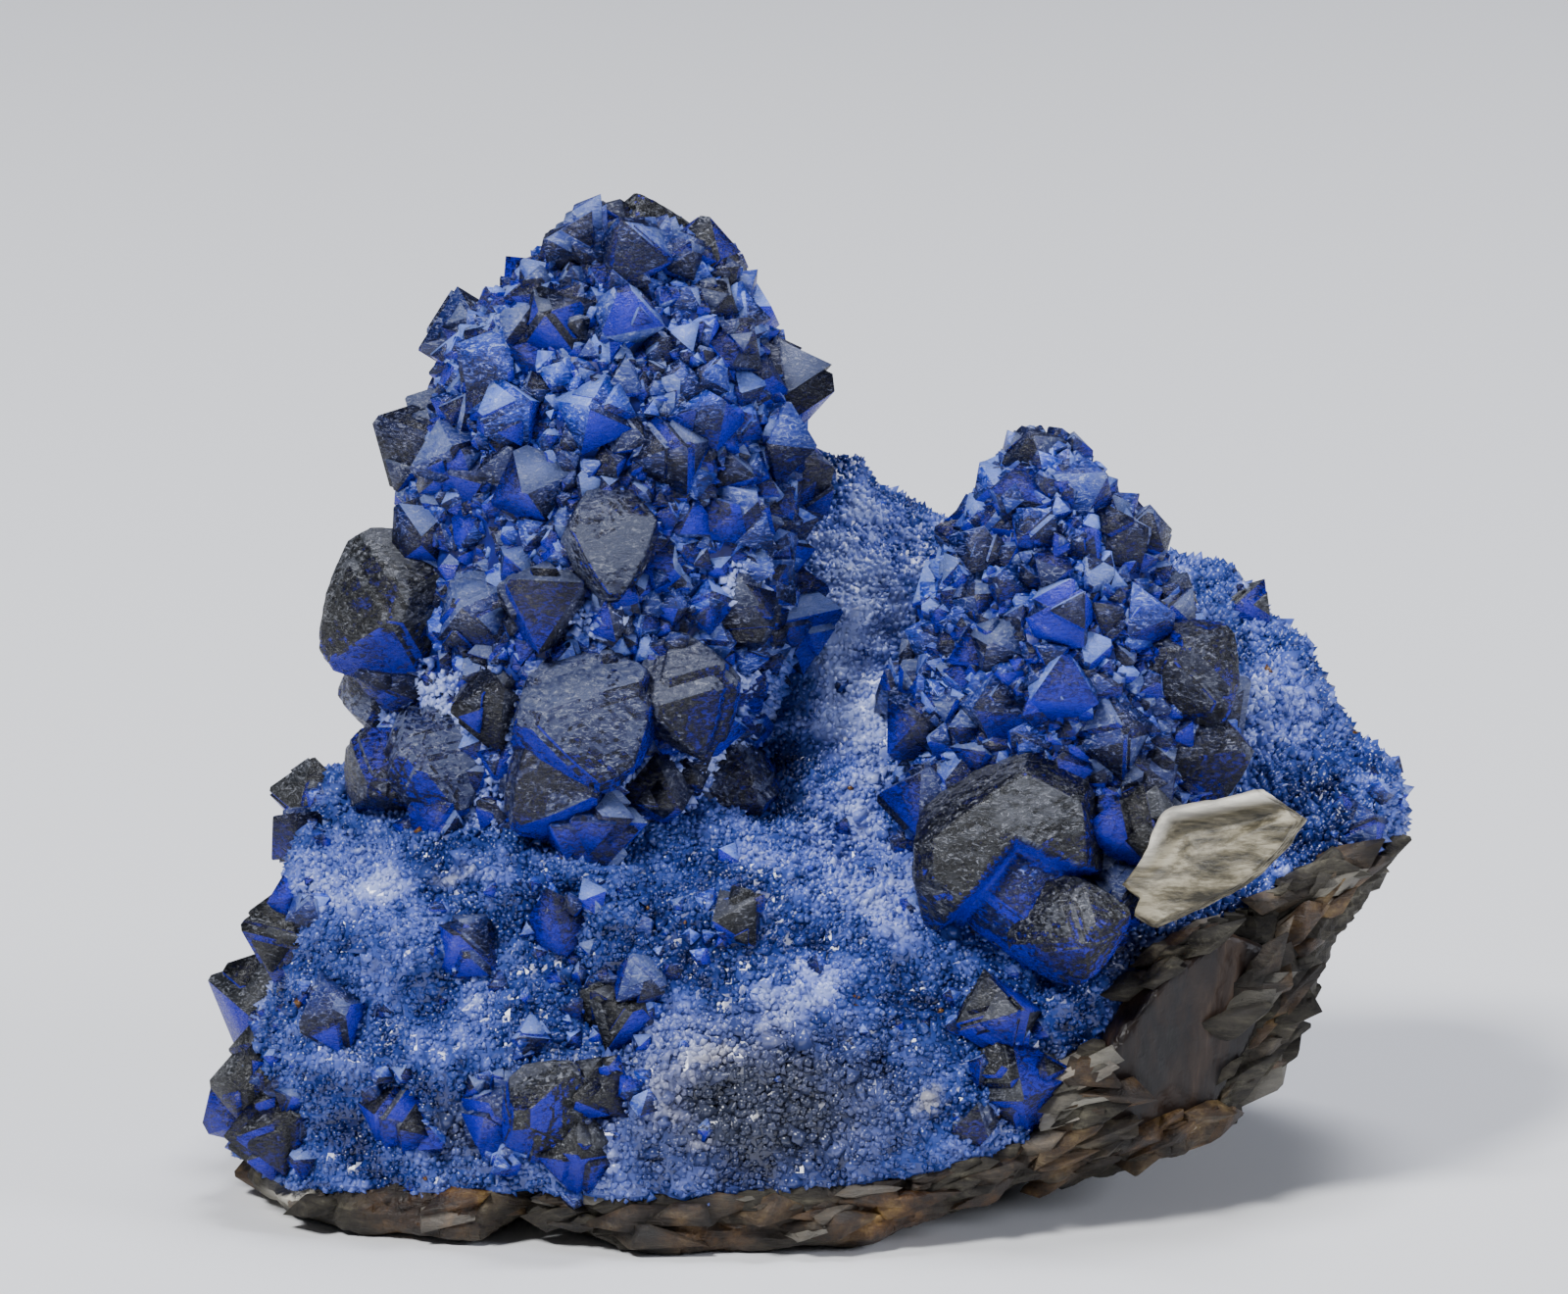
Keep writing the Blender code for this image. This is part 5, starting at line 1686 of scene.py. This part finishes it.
SHORT = FluoriteStalk(
    name="short_stalk",
    node="fluorite_short_stalk",
    rows=(
        (17.5, 20.5, -8.0, 6.0, 6.0), (21, 20.6, -6.5, 9.0, 8.0), (26, 22.6, -4.5, 12.2, 9.6),
        (32, 22.8, -2.6, 12.4, 9.8), (38, 22.2, -1.8, 12.0, 10.0), (45, 22.0, -1.2, 9.6, 8.8),
        (50, 21.6, -0.8, 7.6, 7.2), (54, 21.2, -0.4, 4.8, 4.8), (56.6, 20.4, 0.0, 2.2, 2.2),
    ),
    front=(
        (20.2, 54.8, 2.4, 20), (19.0, 51.0, 2.6, 55), (24.0, 51.6, 2.5, 10), (27.0, 47.6, 2.5, 65),
        (16.4, 47.0, 2.4, 35), (22.2, 42.0, 2.9, 0), (17.6, 40.0, 2.6, 44), (28.6, 42.0, 2.7, 71),
        (31.4, 38.0, 4.9, 14), (33.4, 31.8, 4.6, 50), (26.0, 33.6, 3.7, 27), (28.4, 30.0, 3.2, 62),
        (18.4, 23.8, 8.7, 6), (22.2, 20.0, 4.7, 20), (27.6, 26.2, 3.8, 18), (12.0, 34.0, 2.9, 70),
        (12.6, 40.6, 2.5, 23), (17.4, 35.4, 2.7, 58), (22.4, 36.8, 2.6, 32), (12.6, 28.4, 3.2, 12),
        (26.0, 21.6, 3.0, 41),
    ),
    around=(
        (34.0, 2.0, 35.0, 3.8, 20), (10.6, 1.0, 37.0, 3.4, 48), (22.0, 7.6, 46.0, 3.4, 66),
        (30.0, 5.5, 44.0, 3.4, 10), (14.4, 6.0, 43.6, 3.4, 30),
    ),
    fills=((1500, 1.5, 2.1, 0.56), (8000, 0.95, 1.5, 0.46), (20000, 0.45, 0.9, 0.44)),
    quartz=(),
    quartz_below=20.0,
    seed=65,
    flat=(5, 8, 12),
    raised=((13, 4.6), (14, 1.5)),
    notches=((12, Notch((0.3, 2.2), (-4.2, -3.4), (7.2, -0.9))),),
)

GROUPS = (
    FluoriteGroup("fluorite_left_edge", (
        (-35.6, 18.4, 4.1, 20), (-38.2, 12.6, 3.9, 50), (-38.2, 7.4, 3.4, 10),
        (-36.6, 3.6, 3.4, 62), (-40.2, 4.8, 2.6, 35))),
    FluoriteGroup("fluorite_shoulder", ((-34.6, 28.6, 2.8, 15), (-35.4, 25.8, 2.6, 48))),
    FluoriteGroup("fluorite_front", (
        (-16.5, 5.4, 4.3, 25), (-12.6, 6.6, 3.0, 52), (-14.0, 2.4, 3.2, 5), (-19.8, 4.8, 2.8, 68))),
    FluoriteGroup("fluorite_middle", (
        (-10.2, 12.6, 2.8, 18), (-12.0, 13.4, 2.3, 44), (-9.2, 15.0, 2.2, 61))),
    FluoriteGroup("fluorite_rim", ((19.0, 7.6, 3.9, 12), (17.8, 12.6, 3.1, 37))),
    FluoriteGroup("octahedron_slope", ((-22.1, 17.4, 2.8, 45),)),
    FluoriteGroup("octahedron_upper", ((-15.2, 19.6, 2.9, 0),)),
    FluoriteGroup("octahedron_low_left", ((-32.0, 12.4, 2.8, 30),)),
    FluoriteGroup("octahedron_front_left", ((-27.0, 4.8, 2.9, 55),)),
    FluoriteGroup("octahedron_valley", ((-1.9, 19.8, 2.4, 15),)),
    FluoriteGroup("octahedron_ridge", ((37.2, 43.0, 2.1, 22),)),
    FluoriteGroup("octahedron_right_end", ((45.6, 26.0, 2.4, 40),)),
    FluoriteGroup("fluorite_back", (
        (-24, 22, 16, 3.6, 20), (-20, 23.5, 12.5, 3.0, 55), (-27, 19.5, 11, 2.6, 35))),
    FluoriteGroup("octahedron_back_low", ((6.0, 26.5, 14.0, 2.8, 40),)),
    FluoriteGroup("octahedron_back_high", ((14.0, 24.5, 31.0, 2.6, 15),)),
    FluoriteGroup("octahedron_back_right", ((33.0, 22.5, 24.0, 2.7, 62),)),
)

DRUSE_PATCHES = (
    Patch(-25, 14, 8, 5.5, 0.55), Patch(-30, 22, 5, 4, 0.6), Patch(3, 15, 4, 3.2, 1.0),
    Patch(-14, 17, 6.5, 7.5, -0.65), Patch(-4, 19, 7, 5, -0.4), Patch(-0.5, 6.0, 14.5, 8.5, 0.0, 1.0),
    # The patch at (7.5, 38) paints the valley behind the tall stalk pale, a painted highlight where that stalk
    # shades it
    Patch(7.5, 38, 6.5, 16, 1.5), Patch(8, 22, 6, 6, 0.7), Patch(10.5, 12, 6, 5, -0.45),
    Patch(13, 7, 3.6, 3.2, 0.3), Patch(2, 3, 18, 7, -0.45), Patch(37.5, 41, 7, 7, 0.05), Patch(44, 28, 5, 4.5, -0.4),
    Patch(-3, 9.9, 3.6, 1.3, 1.1, 1.0), Patch(-4.5, 3.2, 1.6, 1.1, 1.0, 1.0),
    Patch(12.4, 6.2, 1.8, 1.5, 1.4, 1.0), Patch(21.7, 8.0, 1.8, 2.4, 1.3, 1.0),
    Patch(-23.2, 23, 2.0, 0.8, 1.2, 0.6), Patch(-21, 4, 6, 3.4, 0.0, 0.8),
    Patch(29, 17, 6, 2.6, -0.3, 0.8), Patch(-24, 8.5, 5, 3, -0.35),
)

AMBER_PATCHES = (
    Patch(-25, -2.0, 6.5, 3.0, 1.0), Patch(9.0, -2.4, 6.0, 3.2, 1.0), Patch(-4, -3.4, 7.0, 2.0, 0.7),
    Patch(22, 2.0, 5.0, 2.4, 0.5), Patch(30, 4.0, 5.0, 3.0, 0.6),
)

CHIP_PATCHES = (
    Patch(-35.6, -0.8, 2.4, 1.6, 0.9), Patch(22.0, 8.6, 1.4, 1.6, 0.7), Patch(21.6, 5.0, 1.6, 1.4, 0.6),
    Patch(10.8, 1.6, 2.0, 1.0, 0.5),
)

ROCK_SEAMS = (
    RockSeam(((22.6, 10.0), (24.6, 13.0), (28.6, 16.6), (33.2, 19.4), (37.9, 21.7)), 70, 0.7,
             0.6, 2.0),
    RockSeam(((21.6, 9.0), (23.8, 6.2), (24.2, 3.4)), 30, 0.9, 0.8, 2.6),
    RockSeam(((38.6, 18.5), (38.4, 13.5), (37.0, 10.0), (35.2, 7.0)), 44, 1.0, 0.7, 2.4, 0.6),
    RockSeam(((33.0, 4.4), (28.0, 3.0), (22.0, 2.4), (14.0, 0.6), (6.0, -0.8)), 60, 0.8, 0.6, 2.2),
    RockSeam(((39.0, 20.4), (46.0, 24.0)), 30, 0.9, 0.7, 2.2),
    RockSeam(((4.0, -1.6), (-8.0, -2.4), (-18.0, -1.2), (-34.0, 0.2)), 60, 0.8, 0.7, 2.4),
)

THICK_FLUORITE = (
    Patch(-13, 17, 8, 8, 1.0), Patch(-4, 18, 9, 6, 0.8), Patch(-36, 14, 6, 14, 0.8),
    Patch(-24, 5, 9, 4, 0.6), Patch(-10, 5, 8, 4, 0.5), Patch(10, 12, 7, 7, 0.5),
    Patch(18, 10, 5, 6, 0.8), Patch(45, 28, 6, 5, 0.8),
)


def main() -> None:
    """Build the specimen and the studio around it."""
    logging.basicConfig(level=logging.INFO, format="%(message)s", stream=sys.stdout)
    Studio().build()
    fluorite = FluoriteFinish().make()
    core = CoreFinish().make()
    hill = QuartzHill(DRUSE_PATCHES)
    stalks = [TALL, SHORT]
    for stalk in stalks:
        stalk.build(fluorite, core, hill)
    hill.build(stalks)
    for index, group in enumerate(GROUPS):
        group.build(hill.tree, fluorite, SEED + 20 + index)
    ScatteredFluorite(THICK_FLUORITE).build(hill, fluorite, stalks)
    HostRock(AMBER_PATCHES, CHIP_PATCHES, ROCK_SEAMS).build()
    BrownSpar().build()
    CreamBlade().build()


if __name__ == "__main__":
    main()
